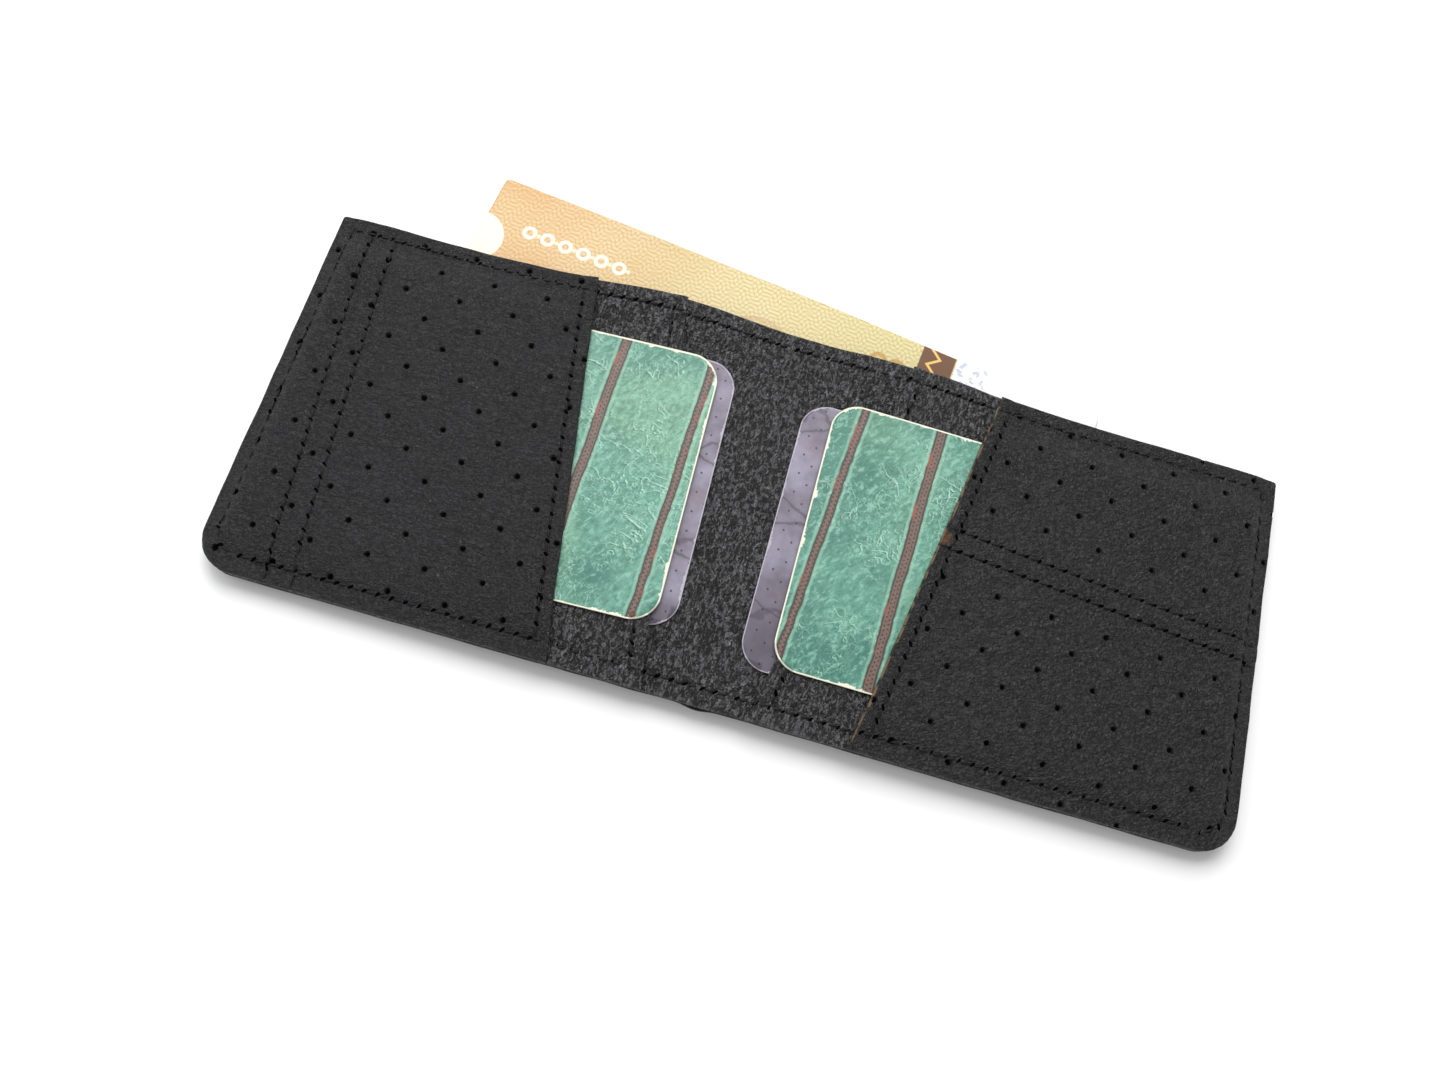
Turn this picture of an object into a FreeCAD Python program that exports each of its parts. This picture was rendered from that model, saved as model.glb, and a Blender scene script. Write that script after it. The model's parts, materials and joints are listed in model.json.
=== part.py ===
import FreeCAD, Part
import os
import Sketcher
from FreeCAD import Placement, Rotation, Vector

# Bifold wallet, lying open with its pockets up, with four cards and one banknote in it.
# +X runs along the open wallet, +Y towards the open edge of the bill compartment, +Z up.
# The origin is on the table under the middle of the spine. Each half slopes down by
# lay_tilt from the fold axis to its end, so the spine stands a little off the table.
SIZES = {
    # cards: the wallet is made round them, with room past their end and their sides
    "card_length": 88.9, "card_width": 63.5, "card_corner": 6.4, "card_thick": 0.35,
    "card_end_room": 24.1, "card_side_room": 12.25, "float_gap": 0.1,
    # the open wallet
    "corner": 8.5, "top_corner": 1.0,
    "lay_tilt": 1.5, "fold_height": 7.0, "spine_half": 3.3, "spine_gap": 0.3,
    # leather
    "shell_thick": 1.2, "panel_thick": 0.8, "pocket_thick": 0.8,
    # room between the layers, and the sewn rim round them
    "bill_room": 0.6, "card_room": 0.6, "rim": 4.5, "nest_gap": 0.2,
    # distance of each pocket mouth from the spine, at the top and the bottom edge
    "left_front_top": 51.5, "left_front_bottom": 35.5,
    "left_rear_top": 30.4, "left_rear_bottom": 15.2,
    "right_front_top": 45.5, "right_front_bottom": 29.3,
    "right_rear_top": 24.0, "right_rear_bottom": 7.8,
    # place of each card's spine-side edge, and its turn
    "left_front_lead": 17.5, "left_front_rise": -0.2, "left_front_turn": 2.0,
    "left_rear_lead": 13.4, "left_rear_rise": 0.1, "left_rear_turn": 2.0,
    "right_front_lead": 9.0, "right_front_rise": -0.1, "right_front_turn": 0.0,
    "right_rear_lead": 2.4, "right_rear_rise": -1.5, "right_rear_turn": 0.0,
    # banknote: its size, thickness, turn, and the place of its upper left corner
    "note_length": 152.4, "note_width": 69.85, "note_thick": 0.2, "note_turn": -7.0,
    "note_left": -81.4, "note_above": 22.8,
    # sewing
    "stitch_pitch": 3.0, "stitch_length": 2.2, "stitch_width": 0.5, "stitch_height": 0.3,
    "side_inset": 3.4, "bottom_inset": 4.0, "top_inset": 3.2, "hem_inset": 3.1,
    "row_end": 2.0, "row_break": 0.4, "row_spread": 5.7,
    "left_row_top_inset": 8.6, "left_row_bottom_inset": 15.6,
    "right_row_inner": 9.0, "right_row_outer": 3.4, "right_row_spread": 4.7,
}
LEFT, RIGHT = -1, 1

doc = FreeCAD.newDocument("bifold_wallet")
sheet = doc.addObject("Spreadsheet::Sheet", "Sizes")
for row, (alias, size) in enumerate(SIZES.items(), start=1):
    sheet.set(f"A{row}", alias)
    sheet.set(f"B{row}", str(size))
    sheet.setAlias(f"B{row}", alias)
doc.recompute()


def cell(alias):
    return f"Sizes.{alias}"


# Length of one half, from the fold to its end, and height of the wallet.
END = f"({cell('card_length')} + {cell('card_end_room')})"
HEIGHT = f"({cell('card_width')} + 2 * {cell('card_side_room')})"
# Heights of the layers above the shell's outer face, in the frame of a half. A card in
# the front pocket passes over the stitches of the rear pocket's hem.
SHELL_TOP = cell("shell_thick")
PANEL_RIM = f"({SHELL_TOP} + {cell('panel_thick')})"
PANEL_TOP = f"({PANEL_RIM} + {cell('bill_room')})"
REAR_RIM = f"({PANEL_RIM} + {cell('pocket_thick')})"
REAR_TOP_RIM = f"({PANEL_TOP} + {cell('pocket_thick')})"
REAR_TOP = f"({REAR_TOP_RIM} + {cell('card_room')})"
FRONT_RIM = f"({REAR_RIM} + {cell('pocket_thick')})"
FRONT_TOP_RIM = f"({REAR_TOP_RIM} + {cell('pocket_thick')})"
FRONT_FLOOR = f"({REAR_TOP} + {cell('stitch_height')})"
FRONT_TOP = f"({FRONT_FLOOR} + {cell('card_room')} + {cell('pocket_thick')})"
# Distance of each step in the layers from the edge of the wallet: every layer's raised
# middle nests in the hollow of the layer above it.
FRONT_STEP = cell("rim")
FRONT_HOLLOW = f"({FRONT_STEP} + {cell('pocket_thick')})"
REAR_STEP = f"({FRONT_HOLLOW} + {cell('nest_gap')})"
REAR_HOLLOW = f"({REAR_STEP} + {cell('pocket_thick')})"
PANEL_STEP = f"({REAR_HOLLOW} + {cell('nest_gap')})"
PANEL_HOLLOW = f"({PANEL_STEP} + {cell('panel_thick')})"
# Edges of the wallet, the inner end of each half, and a margin for open cuts.
TOP_EDGE = f"({HEIGHT} / 2)"
BOTTOM_EDGE = f"(-{HEIGHT} / 2)"
HALF_START = f"({cell('spine_half')} + {cell('spine_gap')})"
TILT = f"({cell('lay_tilt')} * 1 deg)"
SPINE_LIFT = f"({END} * sin({TILT}) - {cell('fold_height')} * (1 - cos({TILT})))"
# A level spine strip stands this much proud of a half's slope at its own ends, and a
# card that reaches over the strip clears it.
SPINE_STEP = f"({HALF_START} * sin({TILT}))"
REAR_FLOOR = f"({PANEL_TOP} + {SPINE_STEP})"
MARGIN = "1"


def new_body(label):
    body = doc.addObject("PartDesign::Body", label)
    body.Label = label
    return body


def lay_half(body, side):
    """Slope a piece of one half about the fold axis, so that its end rests on the table."""
    body.Placement = Placement(Vector(), Rotation(Vector(0, 1, 0), 1))
    body.setExpression("Placement.Base.x", f"{-side} * {cell('fold_height')} * sin({TILT})")
    body.setExpression("Placement.Base.z", f"{END} * sin({TILT})")
    body.setExpression("Placement.Rotation.Angle", f"{side} * {TILT}")


def lay_spine(body):
    """Stand a piece of the spine level, at the height of the halves' inner ends."""
    body.Placement = Placement()
    body.setExpression("Placement.Base.z", SPINE_LIFT)


def new_sketch(body, name, level, at=("0", "0"), turn="0"):
    sketch = body.newObject("Sketcher::SketchObject", name)
    plane = next(item for item in body.Origin.OriginFeatures if item.Role == "XY_Plane")
    sketch.AttachmentSupport = [(plane, "")]
    sketch.MapMode = "FlatFace"
    sketch.AttachmentOffset = Placement(Vector(), Rotation(Vector(0, 0, 1), 1))
    sketch.setExpression("AttachmentOffset.Base.x", at[0])
    sketch.setExpression("AttachmentOffset.Base.y", at[1])
    sketch.setExpression("AttachmentOffset.Base.z", level)
    sketch.setExpression("AttachmentOffset.Rotation.Angle", f"({turn}) * 1 deg")
    return sketch


def number(expression):
    result = sheet.evalExpression(expression)
    return getattr(result, "Value", result)


def pin_point(sketch, edge, end, place, name):
    """Hold one end of an edge at the place that two expressions give."""
    for axis, kind, expression in (("x", "DistanceX", place[0]), ("y", "DistanceY", place[1])):
        index = sketch.addConstraint(Sketcher.Constraint(kind, edge, end, number(expression)))
        sketch.renameConstraint(index, f"{name}_{axis}")
        sketch.setExpression(f"Constraints.{name}_{axis}", expression)


def closed_profile(sketch, points):
    """Draw straight edges through the points and close them; each place is an expression."""
    places = [Vector(number(x), number(y), 0) for x, y in points]
    for index, start in enumerate(places):
        following = places[(index + 1) % len(places)]
        sketch.addGeometry(Part.LineSegment(start, following))
    for index in range(len(points)):
        sketch.addConstraint(
            Sketcher.Constraint("Coincident", index, 2, (index + 1) % len(points), 1))
        pin_point(sketch, index, 1, points[index], f"point_{index}")


def rectangle(sketch, x_low, x_high, y_low, y_high):
    closed_profile(sketch, [(x_low, y_low), (x_high, y_low), (x_high, y_high), (x_low, y_high)])


def add_slab(body, sketch, thickness):
    pad = body.newObject("PartDesign::Pad", f"{sketch.Name}_pad")
    pad.Profile = sketch
    pad.setExpression("Length", thickness)
    return pad


def cut_slab(body, sketch, depth):
    """Cut down from a sketch that stands at the top of the cut."""
    pocket = body.newObject("PartDesign::Pocket", f"{sketch.Name}_cut")
    pocket.Profile = sketch
    pocket.setExpression("Length", depth)
    return pocket


def layer_blank(body, side, start_bottom, start_top, base, top):
    """Pad one layer of a half, from its spine-side line to the wallet's rounded end."""
    sketch = new_sketch(body, "outline", base)
    radius, small = cell("corner"), cell("top_corner")
    x_end, x_bend, x_small = (f"{side} * {END}", f"{side} * ({END} - {radius})",
                              f"{side} * ({END} - {small})")
    points = [
        (f"{side} * {start_bottom}", BOTTOM_EDGE), (x_bend, BOTTOM_EDGE),
        (x_end, f"{BOTTOM_EDGE} + {radius}"), (x_end, f"{TOP_EDGE} - {small}"),
        (x_small, TOP_EDGE), (f"{side} * {start_top}", TOP_EDGE)]
    bends = {1: (number(x_bend), number(f"{BOTTOM_EDGE} + {radius}")),
             3: (number(x_small), number(f"{TOP_EDGE} - {small}"))}
    places = [Vector(number(x), number(y), 0) for x, y in points]
    starts = []
    for index, start in enumerate(places):
        finish = places[(index + 1) % len(places)]
        if index in bends:
            centre = Vector(*bends[index], 0)
            reach = (start - centre).Length
            middle = centre + ((start + finish) * 0.5 - centre).normalize() * reach
            sketch.addGeometry(Part.Arc(start, middle, finish))
            # an arc always runs anticlockwise, so on a mirrored outline its ends swap
            starts.append((index, 1 if side > 0 else 2))
        else:
            sketch.addGeometry(Part.LineSegment(start, finish))
            starts.append((index, 1))
    for index, (edge, end) in enumerate(starts):
        after, after_end = starts[(index + 1) % len(starts)]
        sketch.addConstraint(Sketcher.Constraint("Coincident", edge, 3 - end, after, after_end))
        if edge in bends:
            kept = sketch.addConstraint(Sketcher.Constraint(
                "DistanceX", edge, 3, bends[edge][0]))
            sketch.renameConstraint(kept, f"bend_{edge}")
            sketch.setExpression(f"Constraints.bend_{edge}", (x_bend, x_small)[edge == 3])
        pin_point(sketch, edge, end, points[index], f"point_{index}")
    return add_slab(body, sketch, f"{top} - {base}")


def cut_box(body, name, side, x_near, x_far, y_low, y_high, base, top):
    sketch = new_sketch(body, name, top)
    rectangle(sketch, f"{side} * ({x_near})", f"{side} * ({x_far})", y_low, y_high)
    return cut_slab(body, sketch, f"{top} - {base}")


def cut_rim(body, side, start, step, base, top):
    """Lower the sewn rim along the bottom edge and the end, outside the raised middle."""
    for name, x_near, x_far, y_high in (
            ("bottom_rim", f"{start} - {MARGIN}", f"{END} + {MARGIN}", f"{BOTTOM_EDGE} + {step}"),
            ("end_rim", f"{END} - {step}", f"{END} + {MARGIN}", f"{TOP_EDGE} + {MARGIN}")):
        cut_box(body, name, side, x_near, x_far, f"{BOTTOM_EDGE} - {MARGIN}", y_high, base, top)


def half_shell(label, side):
    body = new_body(label)
    layer_blank(body, side, HALF_START, HALF_START, "0", SHELL_TOP)
    lay_half(body, side)
    return body


def half_panel(label, side):
    """Inner panel: sewn down at the bottom and the end, raised and open at the top."""
    body = new_body(label)
    layer_blank(body, side, HALF_START, HALF_START, SHELL_TOP, PANEL_TOP)
    cut_rim(body, side, HALF_START, PANEL_STEP, PANEL_RIM, PANEL_TOP)
    cut_box(body, "bill_compartment", side, f"{HALF_START} - {MARGIN}", f"{END} - {PANEL_HOLLOW}",
            f"{BOTTOM_EDGE} + {PANEL_HOLLOW}", f"{TOP_EDGE} + {MARGIN}",
            SHELL_TOP, f"({PANEL_TOP} - {cell('panel_thick')})")
    lay_half(body, side)
    return body


def spine_shell(label):
    """Shell's spine: a slack loop that hangs to the table, to reach round when folded."""
    body = new_body(label)
    half, wall = cell("spine_half"), cell("shell_thick")
    outside = new_sketch(body, "loop_outside", f"-{SPINE_LIFT}")
    rectangle(outside, f"-{half}", half, BOTTOM_EDGE, TOP_EDGE)
    add_slab(body, outside, f"{SPINE_LIFT} + {SHELL_TOP}")
    inside = new_sketch(body, "loop_inside", SHELL_TOP)
    rectangle(inside, f"-({half} - {wall})", f"{half} - {wall}",
              f"{BOTTOM_EDGE} - {MARGIN}", f"{TOP_EDGE} + {MARGIN}")
    cut_slab(body, inside, SPINE_LIFT)
    lay_spine(body)
    return body


def spine_panel(label):
    body = new_body(label)
    half = cell("spine_half")
    blank = new_sketch(body, "strip", SHELL_TOP)
    rectangle(blank, f"-{half}", half, BOTTOM_EDGE, TOP_EDGE)
    add_slab(body, blank, f"{PANEL_TOP} - {SHELL_TOP}")
    ends = (f"-{half} - {MARGIN}", f"{half} + {MARGIN}")
    cut_box(body, "bottom_rim", 1, *ends, f"{BOTTOM_EDGE} - {MARGIN}",
            f"{BOTTOM_EDGE} + {PANEL_STEP}", PANEL_RIM, PANEL_TOP)
    cut_box(body, "bill_compartment", 1, *ends, f"{BOTTOM_EDGE} + {PANEL_HOLLOW}",
            f"{TOP_EDGE} + {MARGIN}", SHELL_TOP, f"({PANEL_TOP} - {cell('panel_thick')})")
    lay_spine(body)
    return body


def mouth(name):
    return cell(f"{name}_bottom"), cell(f"{name}_top")


def rear_pocket(label, name, side):
    """Rear pocket: follows the inner panel's steps and stands off it to take a card."""
    body = new_body(label)
    bottom, top = mouth(name)
    layer_blank(body, side, bottom, top, PANEL_RIM, REAR_TOP)
    cut_rim(body, side, bottom, REAR_STEP, REAR_RIM, REAR_TOP)
    cut_box(body, "top_rim", side, f"{bottom} - {MARGIN}", f"{END} - {REAR_STEP}",
            f"{TOP_EDGE} - {REAR_STEP}", f"{TOP_EDGE} + {MARGIN}", REAR_TOP_RIM, REAR_TOP)
    hollow = (f"{bottom} - {MARGIN}", f"{END} - {REAR_HOLLOW}", f"{BOTTOM_EDGE} + {REAR_HOLLOW}")
    cut_box(body, "over_panel", side, *hollow, f"{TOP_EDGE} + {MARGIN}", PANEL_RIM, PANEL_TOP)
    cut_box(body, "card_slot", side, *hollow, f"{TOP_EDGE} - {REAR_HOLLOW}",
            PANEL_RIM, f"({REAR_TOP} - {cell('pocket_thick')})")
    lay_half(body, side)
    return body


def front_pocket(label, name, side):
    """Front pocket: nests over the rear pocket and stands off it to take a card."""
    body = new_body(label)
    bottom, top = mouth(name)
    layer_blank(body, side, bottom, top, REAR_RIM, FRONT_TOP)
    cut_rim(body, side, bottom, FRONT_STEP, FRONT_RIM, FRONT_TOP)
    cut_box(body, "top_rim", side, f"{bottom} - {MARGIN}", f"{END} - {FRONT_STEP}",
            f"{TOP_EDGE} - {FRONT_STEP}", f"{TOP_EDGE} + {MARGIN}", FRONT_TOP_RIM, FRONT_TOP)
    hollow = (f"{bottom} - {MARGIN}", f"{END} - {FRONT_HOLLOW}", f"{BOTTOM_EDGE} + {FRONT_HOLLOW}")
    cut_box(body, "over_rear", side, *hollow, f"{TOP_EDGE} + {MARGIN}", REAR_RIM, REAR_TOP_RIM)
    cut_box(body, "card_slot", side, *hollow, f"{TOP_EDGE} - {FRONT_HOLLOW}",
            REAR_RIM, f"({FRONT_TOP} - {cell('pocket_thick')})")
    lay_half(body, side)
    return body


def card(label, name, side, floor):
    """Card with round corners, lying just clear of the layer under it."""
    body = new_body(label)
    radius = cell("card_corner")
    half_x, half_y = f"({cell('card_length')} / 2)", f"({cell('card_width')} / 2)"
    centre_x = f"{side} * ({cell(name + '_lead')} + {half_x})"
    sketch = new_sketch(body, "card_outline", f"{floor} + {cell('float_gap')}",
                        (centre_x, cell(f"{name}_rise")), cell(f"{name}_turn"))
    rectangle(sketch, f"-{half_x}", half_x, f"-{half_y}", half_y)
    pad = add_slab(body, sketch, cell("card_thick"))
    doc.recompute()
    thickness = number(cell("card_thick"))
    upright = [f"Edge{index}" for index, edge in enumerate(pad.Shape.Edges, start=1)
               if abs(edge.Length - thickness) < 1e-6]
    fillet = body.newObject("PartDesign::Fillet", "round_corners")
    fillet.Base = (pad, upright)
    fillet.setExpression("Radius", radius)
    lay_half(body, side)
    return body


def note_piece(label, x_low, x_high):
    """Stretch of the banknote between two lines across the wallet."""
    body = new_body(label)
    level = f"{SHELL_TOP} + {cell('float_gap')}"
    sketch = new_sketch(body, "note_outline", level,
                        (cell("note_left"), f"{TOP_EDGE} + {cell('note_above')}"), cell("note_turn"))
    rectangle(sketch, "0", cell("note_length"), f"-{cell('note_width')}", "0")
    add_slab(body, sketch, cell("note_thick"))
    far = f"2 * {END}"
    if x_high is not None:
        cut_box(body, "right_part", 1, x_high, far, f"-{far}", far,
                level, f"({level} + {cell('note_thick')})")
    if x_low is not None:
        cut_box(body, "left_part", 1, f"-{far}", x_low, f"-{far}", far,
                level, f"({level} + {cell('note_thick')})")
    return body


def stitch_row(body, name, start, finish, level):
    """Row of separate stitches lying on a layer, at the sewing pitch, centred on its run."""
    pitch, length = cell("stitch_pitch"), cell("stitch_length")
    run_x, run_y = f"(({finish[0]}) - ({start[0]}))", f"(({finish[1]}) - ({start[1]}))"
    run = f"sqrt({run_x} ^ 2 + {run_y} ^ 2)"
    count = f"(floor(({run} - {length}) / {pitch}) + 1)"
    lead = f"(({run} - ({count} - 1) * {pitch}) / 2)"
    sketch = new_sketch(body, name, level, start, f"atan2({run_y}; {run_x}) / 1 deg")
    half_width = f"({cell('stitch_width')} / 2)"
    rectangle(sketch, f"{lead} - {length} / 2", f"{lead} + {length} / 2",
              f"-{half_width}", half_width)
    stitch = add_slab(body, sketch, cell("stitch_height"))
    doc.recompute()
    row = body.newObject("PartDesign::LinearPattern", f"{name}_row")
    row.Originals = [stitch]
    row.Direction = (sketch, ["H_Axis"])
    row.Mode = "Spacing"
    row.setExpression("Offset", pitch)
    row.setExpression("Occurrences", count)
    body.Tip = row
    return row


def mouth_at(name, height_above_bottom):
    """Distance of a pocket's mouth from the spine, at a height above the bottom edge."""
    bottom, top = mouth(name)
    return f"({bottom} + ({top} - {bottom}) * ({height_above_bottom}) / {HEIGHT})"


def edge_rows(body, side, y_line, height, levels):
    """Stitches along the top or the bottom edge, one row for each step in the layers."""
    names = [("left", "right")[side > 0] + "_rear", ("left", "right")[side > 0] + "_front"]
    stops = [HALF_START] + [mouth_at(name, height) for name in names]
    stops.append(f"({END} - {cell('corner')})")
    gap = cell("row_break")
    for index, level in enumerate(levels):
        stitch_row(body, f"edge_{index}", (f"{side} * ({stops[index]} + {gap})", y_line),
                   (f"{side} * ({stops[index + 1]} - {gap})", y_line), level)


def edge_stitching(label, side):
    """Bottom row and end row, through every layer and the shell."""
    body = new_body(label)
    edge_rows(body, side, f"({BOTTOM_EDGE} + {cell('bottom_inset')})", cell("bottom_inset"),
              (PANEL_RIM, REAR_RIM, FRONT_RIM))
    x_line = f"{side} * ({END} - {cell('side_inset')})"
    stitch_row(body, "end", (x_line, f"{BOTTOM_EDGE} + {cell('corner')}"),
               (x_line, f"{TOP_EDGE} - {cell('top_inset')}"), FRONT_RIM)
    lay_half(body, side)
    return body


def top_stitching(label, side):
    """Top row, through the pockets and the inner panel only."""
    body = new_body(label)
    edge_rows(body, side, f"({TOP_EDGE} - {cell('top_inset')})",
              f"{HEIGHT} - {cell('top_inset')}",
              (PANEL_TOP, REAR_TOP_RIM, FRONT_TOP_RIM))
    lay_half(body, side)
    return body


def spine_stitching(label):
    body = new_body(label)
    ends = (f"-{cell('spine_half')}", cell("spine_half"))
    for name, y_line, level in (
            ("bottom", f"{BOTTOM_EDGE} + {cell('bottom_inset')}", PANEL_RIM),
            ("top", f"{TOP_EDGE} - {cell('top_inset')}", PANEL_TOP)):
        stitch_row(body, name, (ends[0], y_line), (ends[1], y_line), level)
    lay_spine(body)
    return body


def hem_stitching(label, name, side, step, level):
    """Row along a pocket's turned mouth, on its raised middle."""
    body = new_body(label)
    inset = f"({step} + {cell('row_end')})"
    hem = cell("hem_inset")
    stitch_row(body, "hem", (f"{side} * ({mouth_at(name, inset)} + {hem})",
                             f"{BOTTOM_EDGE} + {inset}"),
               (f"{side} * ({mouth_at(name, HEIGHT + ' - ' + inset)} + {hem})",
                f"{TOP_EDGE} - {inset}"), level)
    lay_half(body, side)
    return body


def left_panel_stitching(label):
    """Two rows across the left front pocket, near its end."""
    body = new_body(label)
    inset = f"({FRONT_STEP} + {cell('row_end')})"
    for index in range(2):
        shift = f"{index} * {cell('row_spread')}"
        stitch_row(body, f"across_{index}",
                   (f"-({END} - {cell('left_row_bottom_inset')} - {shift})",
                    f"{BOTTOM_EDGE} + {inset}"),
                   (f"-({END} - {cell('left_row_top_inset')} - {shift})",
                    f"{TOP_EDGE} - {inset}"), FRONT_TOP)
    lay_half(body, LEFT)
    return body


def right_panel_stitching(label):
    """Two rows along the right front pocket, from its mouth to its end."""
    body = new_body(label)
    hem_row = f"({mouth_at('right_front', HEIGHT + ' / 2')} + {cell('hem_inset')})"
    start = f"({hem_row} + {cell('row_end')})"
    end = f"({END} - {FRONT_STEP} - {cell('row_end')})"
    for index in range(2):
        drop = f"{index} * {cell('right_row_spread')}"
        stitch_row(body, f"along_{index}", (start, f"{cell('right_row_inner')} - {drop}"),
                   (end, f"{cell('right_row_outer')} - {drop}"), FRONT_TOP)
    lay_half(body, RIGHT)
    return body


subparts = [
    half_shell("outer_shell_left", LEFT), half_shell("outer_shell_right", RIGHT),
    spine_shell("outer_shell_spine"),
    half_panel("inner_panel_left", LEFT), half_panel("inner_panel_right", RIGHT),
    spine_panel("inner_panel_spine"), spine_stitching("spine_stitching"),
]
for side, word in ((LEFT, "left"), (RIGHT, "right")):
    subparts += [
        rear_pocket(f"{word}_rear_pocket", f"{word}_rear", side),
        front_pocket(f"{word}_front_pocket", f"{word}_front", side),
        card(f"{word}_rear_card", f"{word}_rear", side, REAR_FLOOR),
        card(f"{word}_front_card", f"{word}_front", side, FRONT_FLOOR),
        edge_stitching(f"{word}_edge_stitching", side),
        top_stitching(f"{word}_top_stitching", side),
        hem_stitching(f"{word}_rear_hem_stitching", f"{word}_rear", side, REAR_STEP, REAR_TOP),
        hem_stitching(f"{word}_front_hem_stitching", f"{word}_front", side, FRONT_STEP, FRONT_TOP),
    ]
subparts += [left_panel_stitching("left_panel_stitching"),
             right_panel_stitching("right_panel_stitching")]

note_left = note_piece("banknote_left", None, f"-{HALF_START}")
note_middle = note_piece("banknote_middle", f"-{cell('spine_half')}", cell("spine_half"))
note_right = note_piece("banknote_right", HALF_START, None)
lay_half(note_left, LEFT)
lay_spine(note_middle)
lay_half(note_right, RIGHT)
subparts += [note_left, note_middle, note_right]

doc.recompute()
failed = [item.Name for item in doc.Objects if {"Invalid", "Error"} & set(item.State)]
if failed:
    raise RuntimeError(f"objects that did not recompute: {failed}")
for subpart in subparts:
    if subpart.Shape.isNull() or not subpart.Shape.isValid() or not subpart.Shape.Solids:
        raise RuntimeError(f"{subpart.Label} has no valid solid")

os.makedirs("parts", exist_ok=True)
for subpart in subparts:
    subpart.Shape.exportStep(f"parts/{subpart.Label}.step")
    print(f"{subpart.Label}: {len(subpart.Shape.Solids)} solids, {subpart.Shape.Volume:.1f} mm3")
print(f"spine stands {number(SPINE_LIFT):.4f} mm off the table")
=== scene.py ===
import json
import math
import random

import bmesh
import bpy
from mathutils import Matrix, Vector, kdtree, noise


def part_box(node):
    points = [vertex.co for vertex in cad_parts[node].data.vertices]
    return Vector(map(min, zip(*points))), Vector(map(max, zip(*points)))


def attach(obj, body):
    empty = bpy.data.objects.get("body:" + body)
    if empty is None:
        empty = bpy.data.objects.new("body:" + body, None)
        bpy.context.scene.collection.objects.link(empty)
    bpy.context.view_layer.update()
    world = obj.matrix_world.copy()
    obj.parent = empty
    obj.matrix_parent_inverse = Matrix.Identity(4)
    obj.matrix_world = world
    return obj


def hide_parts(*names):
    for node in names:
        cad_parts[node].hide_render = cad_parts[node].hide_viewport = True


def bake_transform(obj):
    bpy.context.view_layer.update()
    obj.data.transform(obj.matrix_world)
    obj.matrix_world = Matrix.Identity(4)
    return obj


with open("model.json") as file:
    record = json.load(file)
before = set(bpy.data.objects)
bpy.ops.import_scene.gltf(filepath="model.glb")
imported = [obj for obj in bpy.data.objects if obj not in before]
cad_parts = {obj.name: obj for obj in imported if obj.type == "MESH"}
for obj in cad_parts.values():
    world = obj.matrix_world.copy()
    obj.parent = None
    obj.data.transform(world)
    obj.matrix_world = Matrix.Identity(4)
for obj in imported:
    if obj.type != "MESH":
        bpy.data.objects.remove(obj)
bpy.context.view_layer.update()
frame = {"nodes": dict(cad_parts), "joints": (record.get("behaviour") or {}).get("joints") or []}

MM = 0.001

# ---------------------------------------------------------------------------
# Camera, table and light. The camera looks down on the open wallet from close above, a
# little from the front. A broad soft light stands behind it to the left, and a weaker one
# fills from the front. The table is a plain white sheet.
CAMERA_PLACE = Vector((-7.1, -87.3, 237.9)) * MM
CAMERA_TURN = (18.10, -5.07, 15.20)
CAMERA_LENS = 28.15
LIGHTS = {
    "softbox_back": ((-0.10, 0.44, 0.62), 0.62, 6.4),
    "softbox_left": ((-0.60, 0.10, 0.50), 0.40, 1.2),
    "fill_front": ((0.10, -0.70, 0.60), 0.80, 1.6),
}

camera_data = bpy.data.cameras.new("camera")
camera_data.sensor_width = 36.0
camera_data.lens = CAMERA_LENS
camera_data.clip_start = 0.01
camera = bpy.data.objects.new("camera", camera_data)
camera.location = CAMERA_PLACE
camera.rotation_euler = [math.radians(angle) for angle in CAMERA_TURN]
bpy.context.scene.collection.objects.link(camera)
bpy.context.scene.camera = camera
bpy.context.scene.view_settings.view_transform = "Standard"

for light_name, (place, size, power) in LIGHTS.items():
    light_data = bpy.data.lights.new(light_name, "AREA")
    light_data.size = size
    light_data.energy = power
    light = bpy.data.objects.new(light_name, light_data)
    light.location = place
    light.rotation_euler = (-Vector(place)).to_track_quat("-Z", "Y").to_euler()
    bpy.context.scene.collection.objects.link(light)

world = bpy.data.worlds.new("studio")
world.use_nodes = True
world.node_tree.nodes["Background"].inputs["Color"].default_value = (1.0, 1.0, 1.0, 1.0)
world.node_tree.nodes["Background"].inputs["Strength"].default_value = 0.36
bpy.context.scene.world = world


def new_material(name):
    """Material with an empty node tree, its shader and the shader's name for short."""
    material = bpy.data.materials.new(name)
    material.use_nodes = True
    tree = material.node_tree
    return material, tree, tree.nodes["Principled BSDF"]


def new_piece(name, bm, *materials):
    """Turn a finished bmesh into an object with smooth faces, at the origin."""
    mesh = bpy.data.meshes.new(name)
    for face in bm.faces:
        face.smooth = True
    bm.to_mesh(mesh)
    bm.free()
    for material in materials:
        mesh.materials.append(material)
    piece = bpy.data.objects.new(name, mesh)
    bpy.context.scene.collection.objects.link(piece)
    return piece


table_white, _, table_shader = new_material("table_white")
table_shader.inputs["Base Color"].default_value = (0.93, 0.93, 0.93, 1.0)
table_shader.inputs["Roughness"].default_value = 0.9
table_bm = bmesh.new()
bmesh.ops.create_grid(table_bm, x_segments=1, y_segments=1, size=3.0)
table = new_piece("table_top", table_bm, table_white)

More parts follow.
